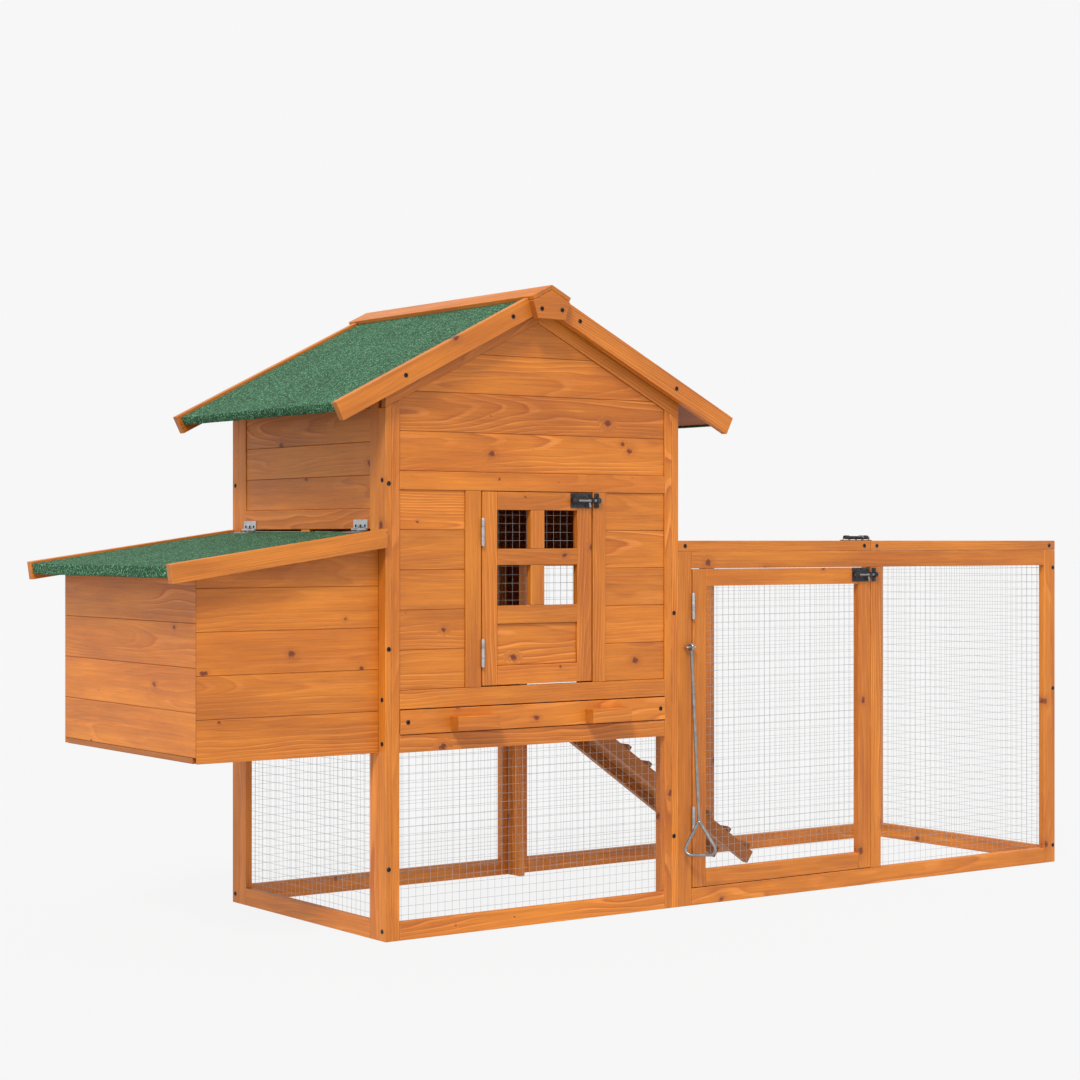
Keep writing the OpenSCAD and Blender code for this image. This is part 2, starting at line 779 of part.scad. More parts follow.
// the lid's own leaves stand up its back edge; its bolt keeper lies on top,
// and its corner screws go in from the front and the back
module run_lid_ironwork() {
    color(gunmetal) to_row() {
        for (x = lid_hinge_x) on_lid_axis(x)
            mirror([0, 1, 0]) pin_along_x() rotate([0, 0, 90]) mirror([0, 1, 0])
                inner_leaf(butt_l, surface_leaf, 16);
        translate(lid_bolt) bolt_keeper();
        for (back = [0, 1], x = lid_screws)
            translate([0, back * house_d, 0]) mirror([0, back, 0]) front_screw(x, gap / 2, top_mid_z);
    }
}

module lid_bolt_plate() color(gunmetal) to_row() translate(lid_bolt) bolt_body();

module lid_bolt_rod() color(gunmetal) to_row() translate(lid_bolt) bolt_rod();

module bolt_keepers() {
    color(gunmetal) to_row() for (at = [house_bolt, run_bolt]) on_front(at) bolt_keeper();
}

// ------------------------------------------------------------------ pop door and ramp

module pop_door_guides() {
    y = [pop_open_y - 12, house_d - run_t - 14];
    groove = 12;
    color(fir_dark) to_row() difference() {
        for (z = [pop_z[0] - 24, pop_z[1]])
            timber([run_x0, y[0], z], [run_x0 + guide_d, y[1], z + 24]);
        translate([pop_x - 0.6, y[0] - 1, pop_z[0] - groove])
            cube([pop_t + 1.2, y[1] - y[0] + 2, pop_z[1] - pop_z[0] + 2 * groove]);
    }
}

module pop_door() {
    reach = 11;
    color(fir) to_row() translate([pop_x, pop_open_y, pop_z[0] - reach])
        cube([pop_t, pop_w, pop_z[1] - pop_z[0] + 2 * reach]);
}

// ramp_frame: X runs down the ramp from its hinge pins, Z is square to it
module ramp_frame() {
    translate([ramp_pivot[0], 0, ramp_pivot[1]]) rotate([0, ramp_pitch, 0]) children();
}

module ramp() {
    side_w = 15;
    cleats = 9;
    step = (ramp_l - 60) / (cleats - 1);
    color(fir_dark) to_row() ramp_frame() {
        for (y = [ramp_y[0], ramp_y[1] - side_w])
            timber([14, y, ramp_low], [ramp_l, y + side_w, ramp_high]);
        timber([4, ramp_y[0] + side_w, ramp_board_low], [ramp_l, ramp_y[1] - side_w, ramp_high]);
        for (i = [0 : cleats - 1])
            timber([34 + i * step, ramp_y[0], ramp_high], [46 + i * step, ramp_y[1], ramp_high + 9]);
    }
}

module on_ramp_axis(y) translate([ramp_pivot[0], y, ramp_pivot[1]]) children();

module ramp_hinge_leaves() {
    color(zinc) to_row() for (y = ramp_hinge_y)
        translate([0, y + ramp_hinge_l, 0]) ramp_frame() mirror([0, 1, 0]) mirror([0, 0, 1])
            pin_along_y() inner_leaf(ramp_hinge_l, surface_leaf, 40);
}

// ------------------------------------------------------------------ fixed ironwork

module hinge_plates() {
    color(zinc) to_row() {
        butts(house_hinge_x, house_hinge_z) butt_outer();
        butts(run_hinge_x, run_hinge_z) butt_outer();
        // nest lid: up the wall
        for (y = nest_hinge_y) translate([lid_pivot[0], y, lid_pivot[1]])
            pin_along_y() rotate([0, 0, -90]) outer_leaf(nest_hinge_l, surface_leaf, 17);
        // run lid: down the back of the frame
        for (x = lid_hinge_x) on_lid_axis(x)
            mirror([0, 1, 0]) pin_along_x() rotate([0, 0, -90]) outer_leaf(butt_l, surface_leaf, 22);
        // ramp: down the face of the lower guide
        for (y = ramp_hinge_y) on_ramp_axis(y)
            pin_along_y() rotate([0, 0, 90]) outer_leaf(ramp_hinge_l, surface_leaf, 18);
    }
}

module hinge_pins() {
    color(zinc) to_row() {
        butts(house_hinge_x, house_hinge_z) hinge_pin(butt_l);
        butts(run_hinge_x, run_hinge_z) hinge_pin(butt_l);
        for (y = nest_hinge_y) translate([lid_pivot[0], y, lid_pivot[1]])
            pin_along_y() hinge_pin(nest_hinge_l);
        for (x = lid_hinge_x) on_lid_axis(x) pin_along_x() hinge_pin(butt_l);
        for (y = ramp_hinge_y) on_ramp_axis(y) pin_along_y() hinge_pin(ramp_hinge_l);
    }
}

// a round bar bent to cross in front of the stile, with both ends in the timber
module pull_rod_staple() {
    half = 9;
    color(zinc) to_row() translate(rod_pivot) {
        rotate([0, 90, 0]) translate([0, 0, -half]) cylinder(r = staple_r, h = 2 * half);
        for (side = [-1, 1]) translate([side * half, 0, 0]) {
            rotate([-90, 0, 0]) cylinder(r = staple_r, h = -rod_pivot[1] + 0.1);
            sphere(r = staple_r);
        }
    }
}

module round_bar(a, b) {
    d = b - a;
    l = norm(d);
    translate(a) rotate([0, acos(d[2] / l), atan2(d[1], d[0])]) cylinder(r = rod_r, h = l);
}

module pull_rod() {
    eye = staple_r + 0.15 + rod_r;
    side = handle_half * [sin(handle_turn), -cos(handle_turn), 0];
    foot = [0, 0, -handle_low];
    corners = [[0, 0, -handle_top], foot + side, foot - side];
    color(zinc) to_row() translate(rod_pivot) rotate([-rod_lean, 0, 0]) {
        rotate([0, 90, 0]) rotate_extrude() translate([eye, 0]) circle(r = rod_r);
        round_bar([0, 0, -eye], corners[0]);
        for (i = [0 : 2]) {
            round_bar(corners[i], corners[(i + 1) % 3]);
            translate(corners[i]) sphere(r = rod_r);
        }
    }
}

// ---- screws: each entry is a place on a face
post_x = house_w - 11;
end_x = run_x1 - 6.7;
top_mid_z = run_h - top_t / 2;
front_screws = [[6.5, 777], [6.5, 496], [6.5, 123], [post_x, 546], [post_x, 133],
    [run_x0 + 16, top_mid_z], [seam_x - 17.5, top_mid_z], [end_x, 623], [end_x, 368], [end_x, 36]];
lid_screws = [seam_x + 16.6, run_x1 - 18];
left_screws = [[11, 783], [11, 410], [11, 335], [11, 17]];

module screw() {
    cylinder(r = 4, h = screw_head);
    translate([0, 0, -18]) cylinder(r = 1.8, h = 18.2);
}

module front_screw(x, y, z) translate([x, y, z]) rotate([90, 0, 0]) screw();

module frame_screws() {
    s = [73, 295];
    y_block = felt_y0 - barge_t - cap_over + 0.2;
    color(gunmetal) to_row() for (back = [0, 1]) {
        translate([0, back * house_d, 0]) mirror([0, back, 0]) {
            for (p = front_screws) front_screw(p[0], gap / 2, p[1]);
            for (x = s, side = [-1, 1])
                front_screw(mid_x + side * x, felt_y0 - barge_t + 0.1, rake_z(x + mid_x, barge_w / 2));
            for (side = [-1, 1]) front_screw(mid_x + side * 22, y_block, ridge_z - 40);
        }
        for (p = left_screws)
            translate([gap / 2, back ? house_d - p[0] : p[0], p[1]]) rotate([0, -90, 0]) screw();
    }
}

// ------------------------------------------------------------------ drawing

corner_posts();
front_frame();
front_cladding();
back_frame();
back_cladding();
left_frame();
left_cladding();
right_frame();
right_cladding();
house_mesh();
tray_runners();
perch();
roof_frame();
roof_boards();
roof_felt();
bargeboards();
ridge_cap();
ridge_blocks();
nest_side_walls();
nest_end_wall();
nest_floor();
nest_divider();
run_front_frame();
run_back_frame();
run_end_frame();
run_top_frame();
run_mesh();
pop_door_guides();
pull_rod_staple();
bolt_keepers();
lid_bolt_plate();
hinge_plates();
hinge_pins();
frame_screws();
nest_lid_boards();
nest_lid_felt();
nest_lid_battens();
nest_lid_hinge_leaves();
house_door_frame();
house_door_panel();
house_door_mesh();
house_door_hinge_leaves();
house_bolt_plate();
house_bolt_rod();
tray_front();
tray_pulls();
tray_pan();
run_door_frame();
run_door_mesh();
run_door_hinge_leaves();
run_bolt_plate();
run_bolt_rod();
run_lid_frame();
run_lid_mesh();
run_lid_ironwork();
lid_bolt_rod();
pop_door();
ramp();
ramp_hinge_leaves();
pull_rod();
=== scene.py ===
"""Chicken coop: the finishes and fine pieces that go round the CAD frame."""

import json
import math
import random

import bmesh
import bpy
from bpy.props import FloatProperty, FloatVectorProperty, PointerProperty
from mathutils import Matrix, Vector, noise


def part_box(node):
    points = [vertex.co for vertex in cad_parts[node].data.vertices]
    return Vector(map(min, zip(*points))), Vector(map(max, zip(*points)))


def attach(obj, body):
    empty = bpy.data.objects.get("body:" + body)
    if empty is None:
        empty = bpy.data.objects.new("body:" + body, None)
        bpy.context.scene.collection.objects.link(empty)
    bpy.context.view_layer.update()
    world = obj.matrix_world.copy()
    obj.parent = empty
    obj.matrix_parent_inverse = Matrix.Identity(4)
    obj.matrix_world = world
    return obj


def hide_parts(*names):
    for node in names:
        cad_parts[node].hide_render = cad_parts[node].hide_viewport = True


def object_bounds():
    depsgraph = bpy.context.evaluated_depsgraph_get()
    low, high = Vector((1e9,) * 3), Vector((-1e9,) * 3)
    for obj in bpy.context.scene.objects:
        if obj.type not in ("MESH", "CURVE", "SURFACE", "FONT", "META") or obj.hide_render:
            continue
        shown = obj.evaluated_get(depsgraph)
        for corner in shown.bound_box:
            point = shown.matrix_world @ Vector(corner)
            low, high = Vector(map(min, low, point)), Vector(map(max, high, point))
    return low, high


bl_info = {
    "name": "Chicken coop",
    "version": (1, 0, 0),
    "blender": (4, 5, 0),
    "location": "3D View > Sidebar > Coop",
    "description": "Builds the timber, felt, wire and ironwork of a chicken coop",
    "category": "Object",
}

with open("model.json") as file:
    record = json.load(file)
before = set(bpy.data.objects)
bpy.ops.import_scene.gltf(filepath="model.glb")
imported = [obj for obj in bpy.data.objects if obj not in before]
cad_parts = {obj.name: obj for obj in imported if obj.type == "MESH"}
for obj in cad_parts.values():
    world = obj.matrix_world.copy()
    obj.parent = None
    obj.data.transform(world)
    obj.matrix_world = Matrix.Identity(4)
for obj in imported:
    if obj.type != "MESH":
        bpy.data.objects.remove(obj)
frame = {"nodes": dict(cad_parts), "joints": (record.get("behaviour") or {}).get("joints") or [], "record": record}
CAD_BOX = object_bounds()
BODY_OF = {node: body for body, nodes in frame["record"]["behaviour"]["bodies"].items() for node in nodes}
JOINT = {joint["name"]: joint for joint in frame["joints"]}
MM = 0.001
MIDDLE = (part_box("corner_posts")[0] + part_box("run_end_frame")[1]) / 2


def tint(red, green, blue):
    """A linear colour from the 0 to 255 steps of a paint chart."""
    return tuple((c / 255 / 12.92) if c < 10.3 else ((c / 255 + 0.055) / 1.055) ** 2.4
                 for c in (red, green, blue))


# ---------------------------------------------------------------- settings


class CoopTimberSettings(bpy.types.PropertyGroup):
    """Stain and edges of the timber"""

    stain: FloatVectorProperty(name="Stain", description="Colour of the stained wood",
                               subtype="COLOR", min=0, max=1, default=tint(195, 114, 26))
    late_wood: FloatVectorProperty(name="Late wood", description="Colour of the dark side of each ring",
                                   subtype="COLOR", min=0, max=1, default=tint(164, 84, 18))
    knot: FloatVectorProperty(name="Knots", description="Colour of the knots",
                              subtype="COLOR", min=0, max=1, default=tint(108, 46, 10))
    # painted shade: the inner timber is drawn as a darker copy of the stained fir, for the dim inside of the coop
    inner: FloatProperty(name="Painted inner shade", description="How much darker the inside timber is",
                         subtype="FACTOR", min=0, max=1, default=0.62)
    ring: FloatProperty(name="Ring width", description="Distance between two growth rings",
                        unit="LENGTH", min=0.002, max=0.02, default=4.6 * MM)
    frame_edge: FloatProperty(name="Frame edge", description="Rounding on the frame timbers",
                              unit="LENGTH", min=0, max=0.003, default=1.0 * MM)
    board_edge: FloatProperty(name="Board edge", description="Rounding on the cladding boards",
                              unit="LENGTH", min=0, max=0.003, default=1.0 * MM)


class CoopFeltSettings(bpy.types.PropertyGroup):
    """Roofing felt"""

    green: FloatVectorProperty(name="Felt", description="Mean colour of the mineral coat",
                               subtype="COLOR", min=0, max=1, default=tint(53, 96, 66))
    grit: FloatProperty(name="Grit", description="Size of one mineral grain",
                        unit="LENGTH", min=0.0005, max=0.004, default=1.9 * MM)
    sag: FloatProperty(name="Waviness", description="How far the felt lies off its boards",
                       unit="LENGTH", min=0, max=0.002, default=0.5 * MM)


class CoopWireSettings(bpy.types.PropertyGroup):
    """Welded wire"""

    pitch: FloatProperty(name="Pitch", description="Distance between wires",
                         unit="LENGTH", min=0.008, max=0.03, default=15.0 * MM)
    thickness: FloatProperty(name="Wire", description="Thickness of a wire",
                             unit="LENGTH", min=0.0005, max=0.002, default=0.5 * MM)
    wander: FloatProperty(name="Wander", description="How far a wire strays from its line",
                          unit="LENGTH", min=0, max=0.003, default=0.25 * MM)
    zinc: FloatVectorProperty(name="Zinc", description="Colour of the zinc coat",
                              subtype="COLOR", min=0, max=1, default=tint(180, 180, 180))


class CoopIronworkSettings(bpy.types.PropertyGroup):
    """Hinges, bolts and screws"""

    dark: FloatVectorProperty(name="Dark steel", description="Colour of the bolts",
                              subtype="COLOR", min=0, max=1, default=tint(52, 53, 56))
    screw: FloatVectorProperty(name="Screws", description="Colour of the screw heads",
                               subtype="COLOR", min=0, max=1, default=tint(38, 40, 44))
    zinc: FloatVectorProperty(name="Zinc", description="Colour of the hinges and the tray pan",
                              subtype="COLOR", min=0, max=1, default=tint(182, 184, 186))
    rod: FloatVectorProperty(name="Rods", description="Colour of the bolt rods and the pull rod",
                             subtype="COLOR", min=0, max=1, default=tint(150, 150, 150))
    rounding: FloatProperty(name="Edges", description="Rounding on the pressed steel",
                            unit="LENGTH", min=0, max=0.001, default=0.25 * MM)


class CoopPullRodSettings(bpy.types.PropertyGroup):
    """Pull rod of the door between the house and the run"""

    thickness: FloatProperty(name="Bar", description="Thickness of the bar",
                             unit="LENGTH", min=0.004, max=0.01, default=6.0 * MM)
    eye: FloatProperty(name="Eye", description="Width of the eye, to the middle of the bar",
                       unit="LENGTH", min=0.008, max=0.02, default=10.3 * MM)
    handle_top: FloatProperty(name="Handle top", description="From the eye down to the top of the handle",
                              unit="LENGTH", min=0.1, max=0.4, default=321.0 * MM)
    handle_low: FloatProperty(name="Handle foot", description="From the eye down to the foot of the handle",
                              unit="LENGTH", min=0.15, max=0.45, default=384.0 * MM)
    handle_width: FloatProperty(name="Handle width", description="Width across the foot of the handle",
                                unit="LENGTH", min=0.04, max=0.12, default=74.0 * MM)
    bend: FloatProperty(name="Bend", description="Inner bend of the handle's lower corners",
                        unit="LENGTH", min=0.003, max=0.02, default=11.0 * MM)
    lean: FloatProperty(name="Lean", description="How far the rod leans out at rest",
                        subtype="ANGLE", min=0, max=0.3, default=math.radians(4))
    turn: FloatProperty(name="Handle turn", description="The handle's foot, turned from square to the wall",
                        subtype="ANGLE", min=0, max=1.6, default=math.radians(32))


class CoopStageSettings(bpy.types.PropertyGroup):
    """Floor, light and camera"""

    floor: FloatVectorProperty(name="Floor", description="Colour of the floor",
                               subtype="COLOR", min=0, max=1, default=(0.62, 0.62, 0.62))
    sky: FloatProperty(name="Ambient", description="Strength of the even light from all round",
                       min=0, max=3, default=0.93)
    key: FloatProperty(name="Key", description="Strength of the main light",
                       min=0, max=10, default=2.5)
    glow: FloatProperty(name="Floor glow", description="How much of the floor's light is its own, "
                        "which thins the shadows", subtype="FACTOR", min=0, max=1, default=0.95)
    lens: FloatProperty(name="Lens", description="Focal length in millimetres",
                        min=20, max=200, default=76.53)


# ---------------------------------------------------------------- shaders


class Shader:
    """A material and short ways of adding the nodes that it needs."""

    def __init__(self, name):
        self.material = bpy.data.materials.new(name)
        self.material.use_nodes = True
        self.tree = self.material.node_tree
        self.surface = self.tree.nodes["Principled BSDF"]

    def add(self, kind, **settings):
        node = self.tree.nodes.new(kind)
        for name, value in settings.items():
            setattr(node, name, value)
        return node

    def feed(self, socket, value):
        if isinstance(value, bpy.types.NodeSocket):
            self.tree.links.new(value, socket)
        else:
            socket.default_value = value

    def math(self, operation, a, b=0.0, clamp=False):
        node = self.add("ShaderNodeMath", operation=operation, use_clamp=clamp)
        self.feed(node.inputs[0], a)
        self.feed(node.inputs[1], b)
        return node.outputs[0]

    def span(self, value, low, high, new_low=0.0, new_high=1.0):
        """Maps low..high on to new_low..new_high, smoothly and clamped."""
        node = self.add("ShaderNodeMapRange", interpolation_type="SMOOTHSTEP")
        for socket, number in zip(node.inputs[:5], (value, low, high, new_low, new_high)):
            self.feed(socket, number)
        return node.outputs[0]

    def attribute(self, name):
        return self.add("ShaderNodeAttribute", attribute_name=name)

    def object_place(self):
        return self.add("ShaderNodeTexCoord").outputs["Object"]

    def stretched(self, vector, scale):
        node = self.add("ShaderNodeVectorMath", operation="MULTIPLY")
        self.feed(node.inputs[0], vector)
        self.feed(node.inputs[1], scale)
        return node.outputs[0]

    def noise(self, vector, scale=1.0, detail=2.0, roughness=0.5):
        node = self.add("ShaderNodeTexNoise")
        self.feed(node.inputs["Vector"], vector)
        self.feed(node.inputs["Scale"], scale)
        self.feed(node.inputs["Detail"], detail)
        self.feed(node.inputs["Roughness"], roughness)
        return node.outputs["Fac"]

    def cells(self, vector, scale, dimensions="3D"):
        node = self.add("ShaderNodeTexVoronoi", voronoi_dimensions=dimensions)
        self.feed(node.inputs["Vector"], vector)
        self.feed(node.inputs["Scale"], scale)
        return node.outputs["Distance"], node.outputs["Color"]

    def ramp(self, value, stops):
        node = self.add("ShaderNodeValToRGB")
        elements = node.color_ramp.elements
        while len(elements) < len(stops):
            elements.new(0.5)
        for element, (position, colour) in zip(elements, stops):
            element.position = position
            element.color = (*colour, 1.0)
        self.feed(node.inputs[0], value)
        return node.outputs[0]

    def mix(self, factor, a, b, blend="MIX"):
        node = self.add("ShaderNodeMix", data_type="RGBA", blend_type=blend)
        for socket, value in ((node.inputs[0], factor), (node.inputs[6], a), (node.inputs[7], b)):
            self.feed(socket, (*value, 1.0) if isinstance(value, tuple) else value)
        return node.outputs[2]

    def shade(self, colour, saturation, value):
        node = self.add("ShaderNodeHueSaturation")
        self.feed(node.inputs["Saturation"], saturation)
        self.feed(node.inputs["Value"], value)
        self.feed(node.inputs["Color"], colour)
        return node.outputs[0]

    def finish(self, colour, roughness, height=None, depth=0.0, strength=0.6, metallic=0.0):
        self.feed(self.surface.inputs["Base Color"],
                  (*colour, 1.0) if isinstance(colour, tuple) else colour)
        self.feed(self.surface.inputs["Roughness"], roughness)
        self.surface.inputs["Metallic"].default_value = metallic
        if height is not None:
            bump = self.add("ShaderNodeBump")
            bump.inputs["Strength"].default_value = strength
            bump.inputs["Distance"].default_value = depth
            self.feed(bump.inputs["Height"], height)
            self.feed(self.surface.inputs["Normal"], bump.outputs[0])
        return self.material


def fir_material(name, settings, value):
    """Stained fir. The grain attribute runs along, across and into each board."""
    s = Shader(name)
    grain = s.attribute("grain").outputs["Vector"]
    tone = s.attribute("tone").outputs["Fac"]
    worn = s.attribute("worn_edge").outputs["Fac"]
    pooled = s.attribute("stain_pool").outputs["Fac"]
    end = s.attribute("end_grain").outputs["Fac"]

    # knots go straight through a board, a few to the square metre
    flat = s.stretched(grain, (0.85, 1.1, 0.0))
    near, pick = s.cells(flat, 7.5, "2D")
    parts = s.add("ShaderNodeSeparateColor")
    s.feed(parts.inputs[0], pick)
    size = s.span(parts.outputs[0], 0.34, 1.0, 0.0, 0.056)
    ragged = s.math("MULTIPLY", s.math("SUBTRACT", s.noise(grain, 150.0, 4.0, 0.7), 0.5), 0.11)
    near = s.math("ADD", near, ragged)
    knot = s.math("SUBTRACT", 1.0, s.math("DIVIDE", near, s.math("MAXIMUM", size, 0.001)))
    knot_mask = s.span(knot, 0.0, 0.35)
    halo = s.span(knot, -1.8, 0.1)

    # growth rings: distance from the heart of the tree, bent by slow noise and by knots
    parts = s.add("ShaderNodeSeparateXYZ")
    s.feed(parts.inputs[0], grain)
    along, across, into = parts.outputs
    squares = s.math("ADD", s.math("MULTIPLY", across, across), s.math("MULTIPLY", into, into))
    reach = s.math("SQRT", squares)
    bend = s.noise(s.stretched(grain, (1.6, 9.0, 9.0)), 1.0, 3.0, 0.45)
    reach = s.math("ADD", reach, s.math("MULTIPLY", s.math("SUBTRACT", bend, 0.5), 0.05))
    reach = s.math("ADD", reach, s.math("MULTIPLY", along, 0.012))
    reach = s.math("ADD", reach, s.math("MULTIPLY", halo, 0.011))
    ring = s.math("FRACT", s.math("DIVIDE", reach, settings.ring))
    clear = s.noise(s.stretched(grain, (2.5, 16.0, 16.0)), 1.0, 2.0)
    stain = tuple(settings.stain)
    late = tuple(settings.late_wood)
    pale = tuple(min(1.0, c * 1.22 + 0.02) for c in stain)
    middle = tuple((a * 2 + b) / 3 for a, b in zip(stain, late))
    rings = s.ramp(ring, [(0.0, stain), (0.42, middle), (0.60, late), (0.68, pale), (0.84, pale), (0.92, stain)])
    figure = s.span(s.math("FRACT", s.math("MULTIPLY", tone, 7.31)), 0.25, 0.85, 0.55, 1.35)
    ring_share = s.math("MULTIPLY", s.span(clear, 0.36, 0.62, 0.12, 0.72), figure, clamp=True)
    wood = s.mix(ring_share, stain, rings)

    # long fibres, darker pores and a slow change of stain
    fibre = s.noise(s.stretched(grain, (8.0, 420.0, 420.0)), 1.0, 5.0, 0.75)
    streak = s.noise(s.stretched(grain, (3.2, 95.0, 95.0)), 1.0, 4.0, 0.65)
    pores = s.noise(s.stretched(grain, (45.0, 900.0, 900.0)), 1.0, 2.0, 0.6)
    cloud = s.noise(s.stretched(grain, (3.0, 14.0, 14.0)), 1.0, 5.0, 0.6)
    light = s.math("ADD", s.span(fibre, 0.3, 0.7, -0.13, 0.13), s.span(cloud, 0.3, 0.7, -0.07, 0.07))
    light = s.math("ADD", light, s.span(streak, 0.3, 0.7, -0.07, 0.07))
    light = s.math("ADD", light, s.span(pores, 0.58, 0.74, 0.0, -0.16))
    light = s.math("ADD", light, s.math("MULTIPLY", s.math("SUBTRACT", tone, 0.5), 0.17))
    light = s.math("ADD", light, 1.0)
    light = s.math("MULTIPLY", light, s.span(end, 0.0, 1.0, 1.0, 0.82))
    # a value under one darkens the inner timber: painted shade for the inside of the coop
    light = s.math("MULTIPLY", light, value)
    redder = s.mix(s.span(cloud, 0.30, 0.70, 0.45, 0.0), wood, tuple(c * k for c, k in zip(late, (1.05, 0.86, 0.7))))
    heart = s.mix(s.span(knot, 0.15, 0.6), tuple(c * 1.6 for c in settings.knot), tuple(settings.knot))
    colour = s.mix(s.math("MULTIPLY", halo, 0.30), redder, tuple(c * 0.8 for c in late))
    colour = s.mix(knot_mask, colour, heart)
    scuff = s.noise(grain, 45.0, 2.0)
    colour = s.mix(s.math("MULTIPLY", worn, s.span(scuff, 0.35, 0.7, 0.0, 0.55)), colour, pale)
    colour = s.mix(s.math("MULTIPLY", pooled, 0.16), colour, tuple(c * 0.42 for c in late))
    colour = s.shade(colour, 1.0, light)

    height = s.math("ADD", s.math("MULTIPLY", ring, 0.35), s.math("MULTIPLY", fibre, 0.9))
    height = s.math("SUBTRACT", height, s.math("MULTIPLY", knot_mask, 0.5))
    gloss = s.span(fibre, 0.2, 0.8, 0.46, 0.60)
    s.surface.inputs["Specular IOR Level"].default_value = 0.5
    return s.finish(colour, gloss, height, 0.00035, 0.55)


def felt_material(settings):
    """Green mineral felt: coarse grains of mixed greens set in bitumen."""
    s = Shader("mineral_felt")
    place = s.object_place()
    distance, pick = s.cells(place, 1.0 / settings.grit)
    parts = s.add("ShaderNodeSeparateColor")
    s.feed(parts.inputs[0], pick)
    green = tuple(settings.green)
    grains = s.ramp(parts.outputs[0], [
        (0.0, tuple(c * 0.22 for c in green)), (0.40, tuple(c * 0.62 for c in green)),
        (0.68, tuple(c * 1.1 for c in green)), (0.86, tuple(c * 1.7 + 0.02 for c in green)),
        (1.0, tuple(min(1.0, c * 3.2 + 0.09) for c in green))])
    slow = s.noise(place, 7.0, 3.0)
    fine = s.noise(place, 900.0, 2.0)
    light = s.math("MULTIPLY", s.span(slow, 0.3, 0.7, 0.92, 1.08), s.span(fine, 0.3, 0.7, 0.88, 1.12))
    colour = s.shade(grains, 1.0, light)
    height = s.math("ADD", s.math("MULTIPLY", s.math("SUBTRACT", 1.0, distance), 0.8),
                    s.math("MULTIPLY", parts.outputs[1], 1.0))
    s.surface.inputs["Specular IOR Level"].default_value = 0.25
    return s.finish(colour, 0.95, height, 0.0012, 0.9)


def zinc_material(name, colour, shine, spangle=120.0):
    """Zinc plate with a faint spangle and scuffs."""
    s = Shader(name)
    place = s.object_place()
    _, pick = s.cells(place, spangle)
    parts = s.add("ShaderNodeSeparateColor")
    s.feed(parts.inputs[0], pick)
    cloud = s.noise(place, 60.0, 3.0)
    light = s.math("MULTIPLY", s.span(parts.outputs[0], 0.0, 1.0, 0.9, 1.08),
                   s.span(cloud, 0.3, 0.7, 0.85, 1.05))
    rough = s.span(cloud, 0.3, 0.75, shine, shine + 0.2)
    scratch = s.noise(s.stretched(place, (900.0, 900.0, 60.0)), 1.0, 2.0)
    return s.finish(s.shade(tuple_colour(s, colour), 1.0, light), rough, scratch, 0.00006, 0.3, metallic=0.85)


def tuple_colour(shader, colour):
    """A constant colour as a socket, for nodes that shade it."""
    return shader.ramp(0.5, [(0.0, tuple(colour)), (1.0, tuple(colour))])


def dark_material(name, colour):
    """Dark-plated steel, drawn lighter in random patches: a painted highlight."""
    s = Shader(name)
    place = s.object_place()
    cloud = s.noise(place, 140.0, 3.0)
    grime = s.noise(place, 600.0, 2.0)
    painted_highlight = tuple(min(1.0, c * 1.8 + 0.02) for c in colour)
    # painted highlight: random patches of the dark steel are drawn lighter
    base = s.mix(s.span(cloud, 0.45, 0.75), tuple(colour), painted_highlight)
    rough = s.span(grime, 0.3, 0.7, 0.34, 0.55)
    return s.finish(base, rough, grime, 0.00005, 0.3, metallic=0.75)


# ---------------------------------------------------------------- meshes


def cad_copy(node):
    """A CAD node as a clean bmesh: triangles merged, flat faces whole."""
    bm = bmesh.new()
    bm.from_mesh(frame["nodes"][node].data)
    bmesh.ops.remove_doubles(bm, verts=bm.verts, dist=1e-6)
    bmesh.ops.dissolve_limit(bm, angle_limit=0.01, verts=bm.verts, edges=bm.edges)
    return bm


def islands(bm):
    """The separate solids of a bmesh, in order of place."""
    left = set(bm.verts)
    groups = []
    for start in bm.verts:
        if start not in left:
            continue
        left.discard(start)
        group, edge_of_group = [start], [start]
        while edge_of_group:
            vert = edge_of_group.pop()
            for edge in vert.link_edges:
                other = edge.other_vert(vert)
                if other in left:
                    left.discard(other)
                    group.append(other)
                    edge_of_group.append(other)
        groups.append(group)

    def middle(group):
        total = sum((v.co for v in group), Vector()) / len(group)
        return tuple(round(c, 4) for c in total)
    return sorted(groups, key=middle)


def round_edges(bm, width, segments=2, angle=0.5):
    """Bevels every edge sharper than the angle, and returns the new faces."""
    sharp = [e for e in bm.edges if len(e.link_faces) == 2 and e.calc_face_angle(0.0) > angle]
    made = bmesh.ops.bevel(bm, geom=sharp, offset=width, offset_type="OFFSET", segments=segments,
                           profile=0.5, affect="EDGES", clamp_overlap=True, material=-1)
    return made["faces"]


def join_into(bm, other):
    """Adds one bmesh to another and frees it."""
    mesh = bpy.data.meshes.new("joined")
    other.to_mesh(mesh)
    other.free()
    bm.from_mesh(mesh)
    bpy.data.meshes.remove(mesh)


def shade_smooth(bm, angle=0.6):
    for face in bm.faces:
        face.smooth = True
    for edge in bm.edges:
        edge.smooth = len(edge.link_faces) == 2 and edge.calc_face_angle(0.0) < angle


def piece(bm, name, material, nodes, body=None):
    """Turns a bmesh into a finished object that stands for CAD nodes and rides on their body."""
    mesh = bpy.data.meshes.new(name)
    bm.to_mesh(mesh)
    bm.free()
    mesh.materials.append(material)
    made = bpy.data.objects.new(name, mesh)
    bpy.context.scene.collection.objects.link(made)
    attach(made, body or BODY_OF[nodes[0]])
    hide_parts(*nodes)
    return made


